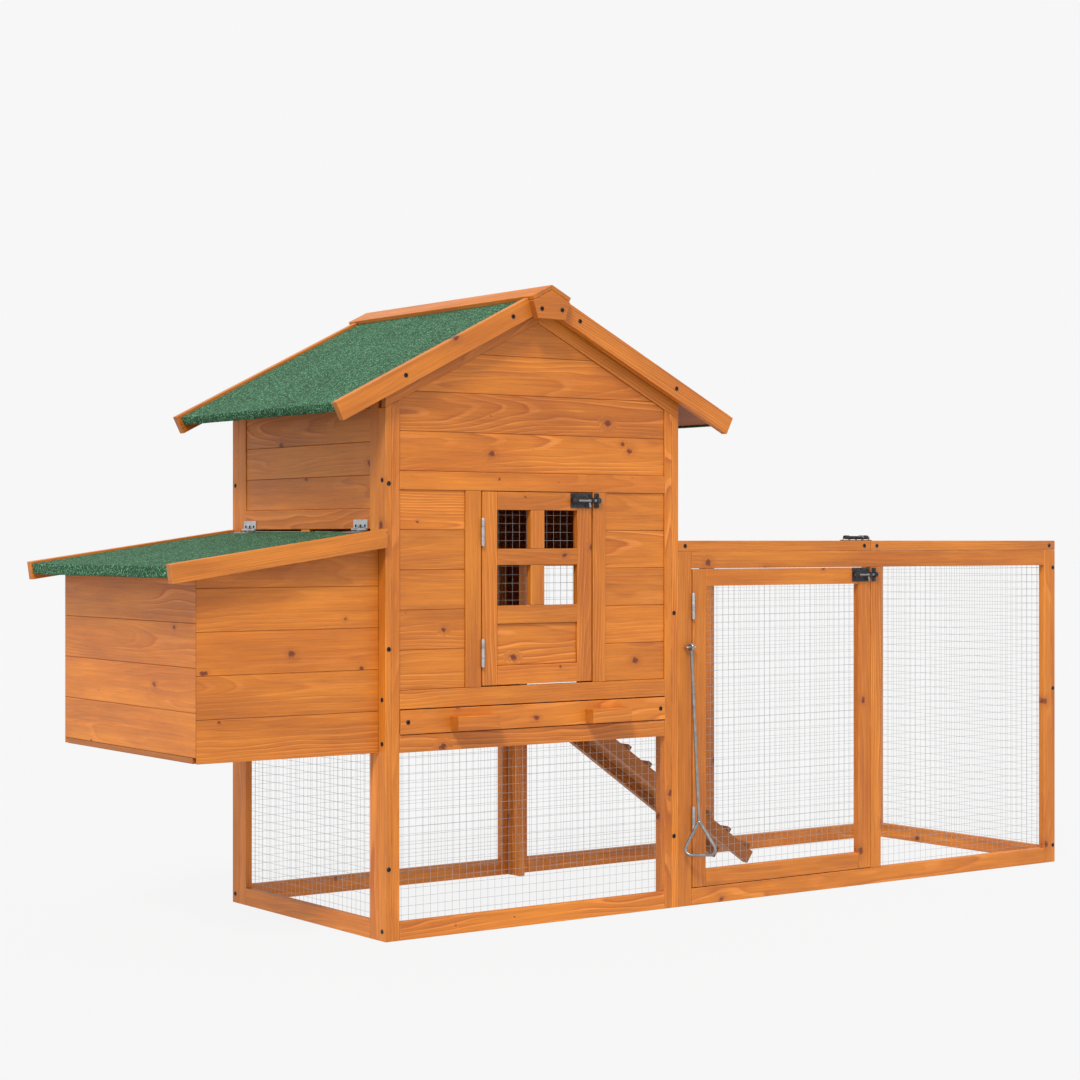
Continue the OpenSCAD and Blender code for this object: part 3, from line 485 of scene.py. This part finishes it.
def grain_axes(group):
    """Along, across and into one board: its longest edge and its largest face."""
    edges = {e for v in group for e in v.link_edges}
    longest = max(edges, key=lambda e: round(e.calc_length(), 5))
    along = (longest.verts[1].co - longest.verts[0].co).normalized()
    faces = {f for v in group for f in v.link_faces}
    beside = [f for f in faces if abs(f.normal.dot(along)) < 0.2]
    into = max(beside, key=lambda f: round(f.calc_area(), 8)).normal.copy()
    into = (into - along * into.dot(along)).normalized()
    if max(along, key=abs) < 0:
        along = -along
    return along, into.cross(along), into


def lay_grain(bm, seed):
    """Gives every board its own piece of tree, tone and end grain."""
    grain = bm.verts.layers.float_vector.new("grain")
    tone = bm.verts.layers.float.new("tone")
    end = bm.faces.layers.float.new("end_grain")
    bm.verts.ensure_lookup_table()
    pick = random.Random(seed)
    for group in islands(bm):
        along, across, into = grain_axes(group)
        centre = sum((v.co for v in group), Vector()) / len(group)
        width = max((v.co - centre).dot(across) for v in group)
        heart_side = pick.uniform(-1, 1) * (0.03 if width > 0.025 else 0.06)
        heart_depth = pick.uniform(0.02, 0.10)
        start = pick.uniform(0, 40)
        shade = pick.random()
        for v in group:
            at = v.co - centre
            v[grain] = (at.dot(along) + start, at.dot(across) + heart_side, at.dot(into) + heart_depth)
            v[tone] = shade
        for face in {f for v in group for f in v.link_faces}:
            face[end] = 1.0 if abs(face.normal.dot(along)) > 0.85 else 0.0


# ---------------------------------------------------------------- timber

OUTER_FRAMES = ("corner_posts", "front_frame", "back_frame", "left_frame", "right_frame", "roof_frame",
                "bargeboards", "ridge_cap", "ridge_blocks", "nest_lid_battens", "house_door_frame",
                "tray_front", "tray_pulls", "run_front_frame", "run_back_frame", "run_end_frame",
                "run_top_frame", "run_door_frame", "run_lid_frame")
OUTER_BOARDS = ("front_cladding", "back_cladding", "left_cladding", "right_cladding",
                "nest_side_walls", "nest_end_wall", "house_door_panel", "pop_door")
INNER_TIMBER = ("tray_runners", "perch", "roof_boards", "nest_floor", "nest_divider",
                "nest_lid_boards", "pop_door_guides", "ramp")


def mitre_nest(bm, node):
    """Runs the nest's boards to the corner, where they meet at forty-five degrees."""
    low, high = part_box("nest_end_wall")
    thickness = high.x - low.x
    for v in bm.verts:
        if node == "nest_end_wall" and v.co.x < low.x + 0.001:
            v.co.y += thickness if v.co.y > (low.y + high.y) / 2 else -thickness
        if node == "nest_side_walls" and v.co.x < low.x + 0.001 and low.y - 0.001 < v.co.y < high.y + 0.001:
            v.co.x += thickness


def timber_piece(node, material, edge, edge_look):
    """A CAD timber with eased edges, which are either worn pale or hold a pool of stain."""
    bm = cad_copy(node)
    if node in ("nest_end_wall", "nest_side_walls"):
        mitre_nest(bm, node)
    lay_grain(bm, node)
    look = bm.faces.layers.float.new(edge_look)
    for face in round_edges(bm, edge):
        face[look] = 1.0
    return piece(bm, "timber_" + node, material, [node])


class COOP_OT_timber(bpy.types.Operator):
    """Makes every timber with eased edges and its own grain"""

    bl_idname = "coop.timber"
    bl_label = "Timber"

    def execute(self, context):
        settings = context.scene.coop_timber
        outside = fir_material("stained_fir", settings, 1.0)
        # painted shade: the inner timber is a darker copy of the outer stain
        inside = fir_material("inner_fir", settings, settings.inner)
        for node in OUTER_FRAMES:
            timber_piece(node, outside, settings.frame_edge, "worn_edge")
        for node in OUTER_BOARDS:
            timber_piece(node, outside, settings.board_edge, "stain_pool")
        for node in INNER_TIMBER:
            timber_piece(node, inside, settings.frame_edge, "stain_pool")
        return {"FINISHED"}


# ---------------------------------------------------------------- felt


def slice_along(bm, axis, step):
    """Cuts a mesh across an axis at even steps."""
    places = [v.co.dot(axis) for v in bm.verts]
    low, high = min(places), max(places)
    for i in range(1, max(2, round((high - low) / step))):
        at = low + (high - low) * i / max(2, round((high - low) / step))
        bmesh.ops.bisect_plane(bm, geom=bm.verts[:] + bm.edges[:] + bm.faces[:], dist=1e-7,
                               plane_co=axis * at, plane_no=axis)


def felt_piece(node, material, settings):
    """Felt that lies a little unevenly and has a soft cut edge."""
    bm = cad_copy(node)
    round_edges(bm, 0.9 * MM)
    slice_along(bm, Vector((0, 1, 0)), 0.016)
    slice_along(bm, Vector((1, 0, 0)), 0.016)
    bm.normal_update()
    for v in bm.verts:
        lift = noise.noise(Vector((v.co.x * 14, v.co.y * 14, 3.0))) + 0.4 * noise.noise(v.co * 45)
        v.co.z += settings.sag * (lift + 0.3)
    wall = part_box("left_frame")[0].x
    for v in bm.verts:
        if wall - 6.5 * MM < v.co.x < wall:
            v.co.x += 3.6 * MM    # the lid's felt is tucked up against the house wall
    shade_smooth(bm, 0.7)
    return piece(bm, "sheet_" + node, material, [node])


class COOP_OT_felt(bpy.types.Operator):
    """Lays the green mineral felt on the roof and on the nest lid"""

    bl_idname = "coop.felt"
    bl_label = "Roofing felt"

    def execute(self, context):
        settings = context.scene.coop_felt
        material = felt_material(settings)
        for node in ("roof_felt", "nest_lid_felt"):
            felt_piece(node, material, settings)
        return {"FINISHED"}


# ---------------------------------------------------------------- wire

WIRE_NODES = ("house_mesh", "run_mesh", "house_door_mesh", "run_door_mesh", "run_lid_mesh")


def add_wire(bm, start, finish, thickness):
    """One straight wire with five sides."""
    run = finish - start
    turn = run.to_track_quat("Z", "Y").to_matrix().to_4x4()
    bmesh.ops.create_cone(bm, cap_ends=True, cap_tris=False, segments=5, radius1=thickness / 2,
                          radius2=thickness / 2, depth=run.length,
                          matrix=Matrix.Translation((start + finish) / 2) @ turn)


def weave(bm, low, high, settings):
    """Welded wire over the area of one flat sheet, built up towards the inside of the coop."""
    size = high - low
    thin = min(range(3), key=lambda i: size[i])
    inward = 1 if MIDDLE[thin] > low[thin] else -1
    outer_face = low[thin] if inward > 0 else high[thin]
    flat = [i for i in range(3) if i != thin]
    for layer, (run, step) in enumerate((flat, flat[::-1])):
        count = int(size[step] / settings.pitch)
        margin = (size[step] - count * settings.pitch) / 2
        for i in range(count + 1):
            start = low.copy()
            start[step] += margin + i * settings.pitch
            start[thin] = outer_face + inward * settings.thickness * (0.5 + 0.9 * layer)
            finish = start.copy()
            finish[run] = high[run]
            add_wire(bm, start, finish, settings.thickness)


def wire_piece(node, material, settings):
    sheets = cad_copy(node)
    boxes = []
    for group in islands(sheets):
        boxes.append(span_of(group))
    sheets.free()
    bm = bmesh.new()
    for low, high in boxes:
        weave(bm, low, high, settings)
    longs = [e for e in bm.edges if e.calc_length() > 0.1]
    bmesh.ops.subdivide_edges(bm, edges=longs, cuts=7)
    for v in bm.verts:
        v.co += noise.noise_vector(v.co * 11) * settings.wander
    shade_smooth(bm, 1.3)
    return piece(bm, "wire_" + node, material, [node])


class COOP_OT_wire(bpy.types.Operator):
    """Weaves the welded wire over every bay"""

    bl_idname = "coop.wire"
    bl_label = "Wire"

    def execute(self, context):
        settings = context.scene.coop_wire
        material = zinc_material("welded_wire", settings.zinc, 0.38, 300.0)
        for node in WIRE_NODES:
            wire_piece(node, material, settings)
        return {"FINISHED"}


# ---------------------------------------------------------------- screws


def ring(bm, radius, height, count=16):
    """An open ring of edges, square to Z."""
    made = bmesh.ops.create_circle(bm, segments=count, radius=radius,
                                   matrix=Matrix.Translation((0, 0, height)))
    return list({e for v in made["verts"] for e in v.link_edges})


def cross_ring(bm, arm, half, height):
    """An open ring of edges in the shape of a cross."""
    outline = [(arm, half), (half, half), (half, arm)]
    corners = []
    for turn in range(4):
        spin = Matrix.Rotation(turn * math.pi / 2, 3, "Z")
        corners += [bm.verts.new(spin @ Vector((x, y, height))) for x, y in outline]
    return [bm.edges.new((corners[i], corners[(i + 1) % 12])) for i in range(12)]


def screw_mesh(radius, rise):
    """A domed head with a cross recess. Its seat is at the origin and it faces +Z."""
    bm = bmesh.new()
    profile = [(1.0, 0.0), (1.0, 0.35), (0.9, 0.68), (0.7, 0.92)]
    loops = [ring(bm, radius * r, rise * h) for r, h in profile]
    for below, above in zip(loops, loops[1:]):
        bmesh.ops.bridge_loops(bm, edges=below + above)
    mouth = cross_ring(bm, radius * 0.52, radius * 0.12, rise)
    bmesh.ops.bridge_loops(bm, edges=loops[-1] + mouth)
    floor = cross_ring(bm, radius * 0.40, radius * 0.07, rise * 0.25)
    bmesh.ops.bridge_loops(bm, edges=mouth + floor)
    bmesh.ops.contextual_create(bm, geom=floor)
    bmesh.ops.contextual_create(bm, geom=loops[0])
    bmesh.ops.recalc_face_normals(bm, faces=bm.faces)
    shade_smooth(bm, 0.75)
    mesh = bpy.data.meshes.new("screw_head")
    bm.to_mesh(mesh)
    bm.free()
    return mesh


def drive_screws(bm, head, seats):
    """Puts a head on each (place, outward direction), each turned its own way."""
    pick = random.Random(len(seats))
    for place, outward in seats:
        one = bmesh.new()
        one.from_mesh(head)
        turn = outward.to_track_quat("Z", "Y").to_matrix().to_4x4()
        turn = Matrix.Translation(place) @ turn @ Matrix.Rotation(pick.uniform(0, 1.57), 4, "Z")
        bmesh.ops.transform(one, matrix=turn, verts=one.verts)
        join_into(bm, one)


def span_of(group):
    """The lowest and highest corner of some vertices."""
    low = Vector(min(v.co[i] for v in group) for i in range(3))
    high = Vector(max(v.co[i] for v in group) for i in range(3))
    return low, high


def take_screws(bm):
    """Removes the plain screws of a CAD copy and says where their heads sit."""
    seats = []
    for group in islands(bm):
        low, high = span_of(group)
        size = high - low
        axis = max(range(3), key=lambda i: size[i])
        others = [size[i] for i in range(3) if i != axis]
        if abs(max(others) - 2 * SCREW_RADIUS) > 0.3 * MM or abs(size[axis] - SCREW_LENGTH) > 0.5 * MM:
            continue
        centre = (low + high) / 2
        head = [v.co[axis] for v in group
                if max(abs((v.co - centre)[i]) for i in range(3) if i != axis) > SCREW_RADIUS * 0.6]
        outward = Vector((0, 0, 0))
        outward[axis] = 1.0 if sum(head) / len(head) > centre[axis] else -1.0
        seat = centre.copy()
        seat[axis] = min(head) if outward[axis] > 0 else max(head)
        seats.append((seat, outward))
        bmesh.ops.delete(bm, geom=group, context="VERTS")
    return seats


def leaf_seats(bm):
    """Three screw places on the outer face of each hinge leaf that lies on a surface."""
    seats = []
    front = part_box("run_front_frame")[1].y
    for group in islands(bm):
        low, high = span_of(group)
        size = sorted(high - low)
        middle = (low + high) / 2
        if size[2] < 25 * MM or middle.y < front:
            continue
        faces = sorted({f for v in group for f in v.link_faces}, key=lambda f: -f.calc_area())[:2]
        face = max(faces, key=lambda f: (middle - f.calc_center_median()).dot(f.normal))
        corners_low, corners_high = span_of(face.verts)
        extent = corners_high - corners_low
        along = max(range(3), key=lambda i: extent[i])
        for share in (-0.33, 0.0, 0.33):
            seat = face.calc_center_median()
            seat[along] += extent[along] * share
            seats.append((seat, face.normal.copy()))
    return seats


# ---------------------------------------------------------------- ironwork

SCREW_RADIUS = 4.0 * MM
SCREW_LENGTH = 19.3 * MM
HINGE_NODES = ("hinge_plates", "nest_lid_hinge_leaves", "ramp_hinge_leaves")
ZINC_NODES = ("hinge_pins", "house_door_hinge_leaves", "run_door_hinge_leaves", "pull_rod_staple")
BOLT_PLATES = {"house_bolt_plate": (1, -1), "run_bolt_plate": (1, -1), "lid_bolt_plate": (2, 1)}
BOLT_RODS = {"house_bolt_rod": (1, -1), "run_bolt_rod": (1, -1), "lid_bolt_rod": (2, 1)}
BOLT_RISE = 5.5 * MM


def ease_steel(bm, edge):
    """Rounds the edges of thin steel, unless the rounding would tear its shape."""
    before = span_of(bm.verts)
    plain = bm.copy()
    round_edges(bm, edge)
    after = span_of(bm.verts)
    if max((a - b).length for a, b in zip(before, after)) > edge:
        bm.clear()
        join_into(bm, plain)
    else:
        plain.free()
    shade_smooth(bm)


def steel_piece(bm, node, material, edge):
    ease_steel(bm, edge)
    return piece(bm, "steel_" + node, material, [node])


def screw_piece(node, material, head, seats):
    bm = bmesh.new()
    drive_screws(bm, head, seats)
    made = piece(bm, "screws_" + node, material, [node])
    return made


def bar_along(points, radius, closed=False, sides=12):
    """A round bar bent along some points, as a mesh."""
    curve = bpy.data.curves.new("bar", "CURVE")
    curve.dimensions = "3D"
    curve.bevel_depth = radius
    curve.bevel_resolution = sides // 4
    curve.use_fill_caps = True
    line = curve.splines.new("POLY")
    line.points.add(len(points) - 1)
    for point, place in zip(line.points, points):
        point.co = (*place, 1.0)
    line.use_cyclic_u = closed
    bar = bpy.data.objects.new("bar", curve)
    bpy.context.scene.collection.objects.link(bar)
    bm = bmesh.new()
    bm.from_mesh(bar.evaluated_get(bpy.context.evaluated_depsgraph_get()).to_mesh())
    bpy.data.objects.remove(bar)
    bpy.data.curves.remove(curve)
    for face in bm.faces:
        face.smooth = len(face.verts) == 4
    return bm


def rounded_path(corners, radii, steps=7):
    """A path through some corners, each turned on an arc of its own radius."""
    path = []
    for i, corner in enumerate(corners):
        before = (corners[i - 1] - corner).normalized()
        after = (corners[(i + 1) % len(corners)] - corner).normalized()
        half = before.angle(after) / 2
        back = radii[i] / math.tan(half)
        centre = corner + (before + after).normalized() * (radii[i] / math.sin(half))
        start, finish = corner + before * back - centre, corner + after * back - centre
        path += [centre + start.normalized().slerp(finish.normalized(), k / steps) * radii[i]
                 for k in range(steps + 1)]
    return path


def tube_part(bm, x0, x1, inner, outer, start, sweep):
    """Part of a tube round the bolt's rod, from one angle on through another."""
    turn = Matrix.Rotation(math.radians(start), 3, "X")
    corners = [bm.verts.new(turn @ Vector((x, r, 0.0)))
               for x, r in ((x0, inner), (x1, inner), (x1, outer), (x0, outer))]
    face = bm.faces.new(corners)
    bmesh.ops.spin(bm, geom=[face], cent=(0, 0, 0), axis=(1, 0, 0), angle=math.radians(sweep),
                   steps=max(3, round(abs(sweep) / 12)))


def pressed_plate(bm, x0, x1, half, thickness):
    """A flat plate with rounded corners, which lies on z = 0."""
    made = bmesh.ops.create_cube(bm, size=1.0)
    bmesh.ops.scale(bm, verts=made["verts"], vec=(x1 - x0, 2 * half, thickness))
    bmesh.ops.translate(bm, verts=made["verts"], vec=((x0 + x1) / 2, 0, thickness / 2))
    upright = {e for v in made["verts"] for e in v.link_edges
               if abs(e.verts[0].co.z - e.verts[1].co.z) > thickness / 2}
    bmesh.ops.bevel(bm, geom=list(upright), offset=2.2 * MM, segments=4, profile=0.5,
                    affect="EDGES", material=-1)
    round_edges(bm, 0.2 * MM, 2, 0.7)


def lay_on(bm, low, high, face_axis, side):
    """Moves a bolt part from its own axes to its place on the front or on the top."""
    turn = Matrix.Rotation(math.pi / 2, 4, "X") if face_axis == 1 else Matrix.Identity(4)
    place = (low + high) / 2
    place.x = low.x
    place[face_axis] = high[face_axis] if side < 0 else low[face_axis]
    bmesh.ops.transform(bm, matrix=Matrix.Translation(place) @ turn, verts=bm.verts)


def bolt_plate(head):
    """The plate of a barrel bolt: an embossed barrel, slotted so that the rod shows."""
    bm = bmesh.new()
    pressed_plate(bm, 0.0, 47.5 * MM, 13.5 * MM, 1.3 * MM)
    barrel = bmesh.new()
    inner, outer = 3.15 * MM, 4.9 * MM
    for x0, x1 in ((1.5, 12.0), (42.5, 47.3)):
        tube_part(barrel, x0 * MM, x1 * MM, inner, outer, -30, 240)
    tube_part(barrel, 12.0 * MM, 42.5 * MM, inner, outer, 132, 78)
    for x0, x1 in ((12.0, 34.5), (41.0, 42.5)):
        tube_part(barrel, x0 * MM, x1 * MM, inner, outer, -30, 78)
    bmesh.ops.translate(barrel, verts=barrel.verts, vec=(0, 0, BOLT_RISE))
    join_into(bm, barrel)
    bmesh.ops.recalc_face_normals(bm, faces=bm.faces)
    shade_smooth(bm)
    seats = [(Vector((x * MM, y * MM, 1.3 * MM)), Vector((0, 0, 1)))
             for x in (5.5, 41.5) for y in (-9.5, 9.5)]
    drive_screws(bm, head, seats)
    return bm


def bolt_keeper(bm, head):
    """The keeper: a strap over a narrow plate."""
    pressed_plate(bm, 0.0, 11.0 * MM, 13.5 * MM, 1.3 * MM)
    strap = bmesh.new()
    tube_part(strap, 2.0 * MM, 9.0 * MM, 3.4 * MM, 5.0 * MM, -35, 250)
    bmesh.ops.translate(strap, verts=strap.verts, vec=(0, 0, BOLT_RISE))
    join_into(bm, strap)
    bmesh.ops.recalc_face_normals(bm, faces=bm.faces)
    shade_smooth(bm)
    drive_screws(bm, head, [(Vector((5.5 * MM, y * MM, 1.3 * MM)), Vector((0, 0, 1))) for y in (-9.6, 9.6)])


def keepers_of(bm, head, face_axis, side):
    """Takes the keepers out of a CAD copy and gives pressed ones in their places."""
    made = bmesh.new()
    for group in islands(bm):
        low, high = span_of(group)
        size = high - low
        if abs(size.x - 11 * MM) > 1 * MM:
            continue
        keeper = bmesh.new()
        bolt_keeper(keeper, head)
        lay_on(keeper, low, high, face_axis, side)
        join_into(made, keeper)
        bmesh.ops.delete(bm, geom=group, context="VERTS")
    return made


class COOP_OT_ironwork(bpy.types.Operator):
    """Makes the hinges, bolts and screws"""

    bl_idname = "coop.ironwork"
    bl_label = "Ironwork"

    def execute(self, context):
        settings = context.scene.coop_ironwork
        zinc = zinc_material("zinc_plate", settings.zinc, 0.28)
        dark = dark_material("dark_steel", settings.dark)
        black = dark_material("screw_steel", settings.screw)
        wood_screw = screw_mesh(SCREW_RADIUS, 1.5 * MM)
        small_screw = screw_mesh(2.5 * MM, 1.0 * MM)

        for node in ZINC_NODES:
            steel_piece(cad_copy(node), node, zinc, settings.rounding)
        for node in HINGE_NODES:
            bm = cad_copy(node)
            seats = leaf_seats(bm)
            steel_piece(bm, node, zinc, settings.rounding)
            screw_piece(node, black, small_screw, seats)
        for node, (face_axis, side) in BOLT_PLATES.items():
            bm = bolt_plate(small_screw)
            lay_on(bm, *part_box(node), face_axis, side)
            piece(bm, "steel_" + node, dark, [node])
        for node in BOLT_RODS:
            bm = cad_copy(node)
            steel_piece(bm, node, zinc_material(node, settings.rod, 0.25), 0.5 * MM)

        front_keepers = keepers_of(cad_copy("bolt_keepers"), small_screw, 1, -1)
        piece(front_keepers, "steel_bolt_keepers", dark, ["bolt_keepers"])
        bm = cad_copy("run_lid_ironwork")
        seats = take_screws(bm)
        keeper = keepers_of(bm, small_screw, 2, 1)
        leaf_places = leaf_seats(bm)
        ease_steel(bm, settings.rounding)
        join_into(bm, keeper)
        drive_screws(bm, wood_screw, seats)
        drive_screws(bm, small_screw, leaf_places)
        piece(bm, "steel_run_lid_ironwork", dark, ["run_lid_ironwork"])

        screw_piece("frame_screws", black, wood_screw, take_screws(cad_copy("frame_screws")))
        low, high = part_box("tray_front")
        height = (low.z + high.z) / 2
        seats = [(Vector((x, low.y, height)), Vector((0, -1, 0))) for x in (low.x + 15 * MM, high.x - 11 * MM)]
        bm = bmesh.new()
        drive_screws(bm, wood_screw, seats)
        screws = piece(bm, "screws_tray_front", black, ["tray_front"])
        return {"FINISHED"}


# ---------------------------------------------------------------- tray and pull rod


class COOP_OT_tray_pan(bpy.types.Operator):
    """Makes the sheet-metal tray pan with its rolled rim"""

    bl_idname = "coop.tray_pan"
    bl_label = "Tray pan"

    def execute(self, context):
        settings = context.scene.coop_ironwork
        bm = cad_copy("tray_pan")
        round_edges(bm, settings.rounding)
        shade_smooth(bm)
        low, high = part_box("tray_pan")
        inset = 1.0 * MM
        corners = [Vector((x, y, high.z - inset)) for x, y in (
            (low.x + inset, low.y + inset), (high.x - inset, low.y + inset),
            (high.x - inset, high.y - inset), (low.x + inset, high.y - inset))]
        join_into(bm, bar_along(rounded_path(corners, [6 * MM] * 4), 1.7 * MM, closed=True))
        piece(bm, "tray_pan_sheet", zinc_material("galvanised_sheet", settings.zinc, 0.3, 45.0), ["tray_pan"])
        return {"FINISHED"}


class COOP_OT_pull_rod(bpy.types.Operator):
    """Bends the pull rod with its eye and its three-cornered handle"""

    bl_idname = "coop.pull_rod"
    bl_label = "Pull rod"

    def execute(self, context):
        settings = context.scene.coop_pull_rod
        radius = settings.thickness / 2
        eye = settings.eye / 2
        foot = Vector((0, 0, -settings.handle_low))
        side = Vector((math.sin(settings.turn), -math.cos(settings.turn), 0)) * settings.handle_width / 2
        top = Vector((0, 0, -settings.handle_top))
        ring_path = [Vector((0, eye * math.sin(a), eye * math.cos(a)))
                     for a in (i * math.pi / 12 for i in range(24))]
        bm = bar_along(ring_path, radius, closed=True)
        join_into(bm, bar_along([Vector((0, 0, -eye)), top], radius))
        corners = [top, foot + side, foot - side]
        corner_radii = [2 * MM, settings.bend, settings.bend]
        join_into(bm, bar_along(rounded_path(corners, corner_radii), radius, closed=True))
        place = Matrix.Translation(JOINT["pull_rod_swing"]["pos_m"])
        bmesh.ops.transform(bm, matrix=place @ Matrix.Rotation(-settings.lean, 4, "X"), verts=bm.verts)
        rod = zinc_material("bright_bar", context.scene.coop_ironwork.rod, 0.22)
        piece(bm, "bent_pull_rod", rod, ["pull_rod"])
        return {"FINISHED"}


# ---------------------------------------------------------------- stage


class COOP_OT_stage(bpy.types.Operator):
    """Sets the floor, the light and the camera"""

    bl_idname = "coop.stage"
    bl_label = "Stage"

    def execute(self, context):
        settings = context.scene.coop_stage
        scene = context.scene
        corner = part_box("corner_posts")[0]
        floor_z = CAD_BOX[0][2] - 0.0005

        bm = bmesh.new()
        bmesh.ops.create_circle(bm, cap_ends=True, segments=96, radius=60.0,
                                matrix=Matrix.Translation((corner.x, corner.y, floor_z)))
        mesh = bpy.data.meshes.new("floor")
        bm.to_mesh(mesh)
        bm.free()
        shader = Shader("pale_floor")
        mottle = shader.noise(shader.object_place(), 1.5, 2.0)
        share = 1.0 - settings.glow
        colour = shader.mix(mottle, tuple(c * share for c in settings.floor),
                            tuple(c * share * 0.99 for c in settings.floor))
        shader.surface.inputs["Specular IOR Level"].default_value = 0.0
        shader.surface.inputs["Emission Color"].default_value = (1.0, 1.0, 1.0, 1.0)
        shader.surface.inputs["Emission Strength"].default_value = settings.sky * settings.glow
        mesh.materials.append(shader.finish(colour, 1.0))
        floor = bpy.data.objects.new("floor", mesh)
        scene.collection.objects.link(floor)

        world = bpy.data.worlds.new("studio")
        world.use_nodes = True
        backdrop = world.node_tree.nodes["Background"]
        backdrop.inputs["Color"].default_value = (1.0, 1.0, 1.0, 1.0)
        backdrop.inputs["Strength"].default_value = settings.sky
        scene.world = world

        sun = bpy.data.lights.new("key", "SUN")
        sun.energy = settings.key
        sun.angle = math.radians(14)
        key = bpy.data.objects.new("key", sun)
        key.rotation_euler = Vector((-0.62, -0.55, 0.9)).to_track_quat("Z", "Y").to_euler()
        scene.collection.objects.link(key)

        lens = bpy.data.cameras.new("camera")
        lens.lens = settings.lens
        lens.sensor_width = 36.0
        camera = bpy.data.objects.new("camera", lens)
        camera.location = corner + Vector((-2.0677, -3.2972, 0.681))
        camera.rotation_euler = (math.radians(90), 0.0, math.radians(-35.94))
        scene.collection.objects.link(camera)
        scene.camera = camera
        scene.view_settings.view_transform = "Standard"
        return {"FINISHED"}


# ---------------------------------------------------------------- panel


class COOP_PT_panel(bpy.types.Panel):
    """The coop's settings and the steps that build it"""

    bl_idname = "COOP_PT_panel"
    bl_label = "Chicken coop"
    bl_space_type = "VIEW_3D"
    bl_region_type = "UI"
    bl_category = "Coop"

    def draw(self, context):
        for group, steps in GROUPS.items():
            box = self.layout.box()
            settings = getattr(context.scene, group)
            for name in settings.__annotations__:
                box.prop(settings, name)
            for step in steps:
                box.operator(step)


GROUPS = {
    "coop_timber": ("coop.timber",),
    "coop_felt": ("coop.felt",),
    "coop_wire": ("coop.wire",),
    "coop_ironwork": ("coop.ironwork", "coop.tray_pan"),
    "coop_pull_rod": ("coop.pull_rod",),
    "coop_stage": ("coop.stage",),
}
SETTINGS = {
    "coop_timber": CoopTimberSettings,
    "coop_felt": CoopFeltSettings,
    "coop_wire": CoopWireSettings,
    "coop_ironwork": CoopIronworkSettings,
    "coop_pull_rod": CoopPullRodSettings,
    "coop_stage": CoopStageSettings,
}
CLASSES = (*SETTINGS.values(), COOP_OT_timber, COOP_OT_felt, COOP_OT_wire, COOP_OT_ironwork,
           COOP_OT_tray_pan, COOP_OT_pull_rod, COOP_OT_stage, COOP_PT_panel)


def register():
    for cls in CLASSES:
        bpy.utils.register_class(cls)
    for name, cls in SETTINGS.items():
        setattr(bpy.types.Scene, name, PointerProperty(type=cls))


def unregister():
    for name in SETTINGS:
        delattr(bpy.types.Scene, name)
    for cls in reversed(CLASSES):
        bpy.utils.unregister_class(cls)


def main():
    register()
    bpy.ops.coop.stage()
    bpy.ops.coop.timber()
    bpy.ops.coop.felt()
    bpy.ops.coop.wire()
    bpy.ops.coop.ironwork()
    bpy.ops.coop.tray_pan()
    bpy.ops.coop.pull_rod()


if __name__ == "__main__":
    main()
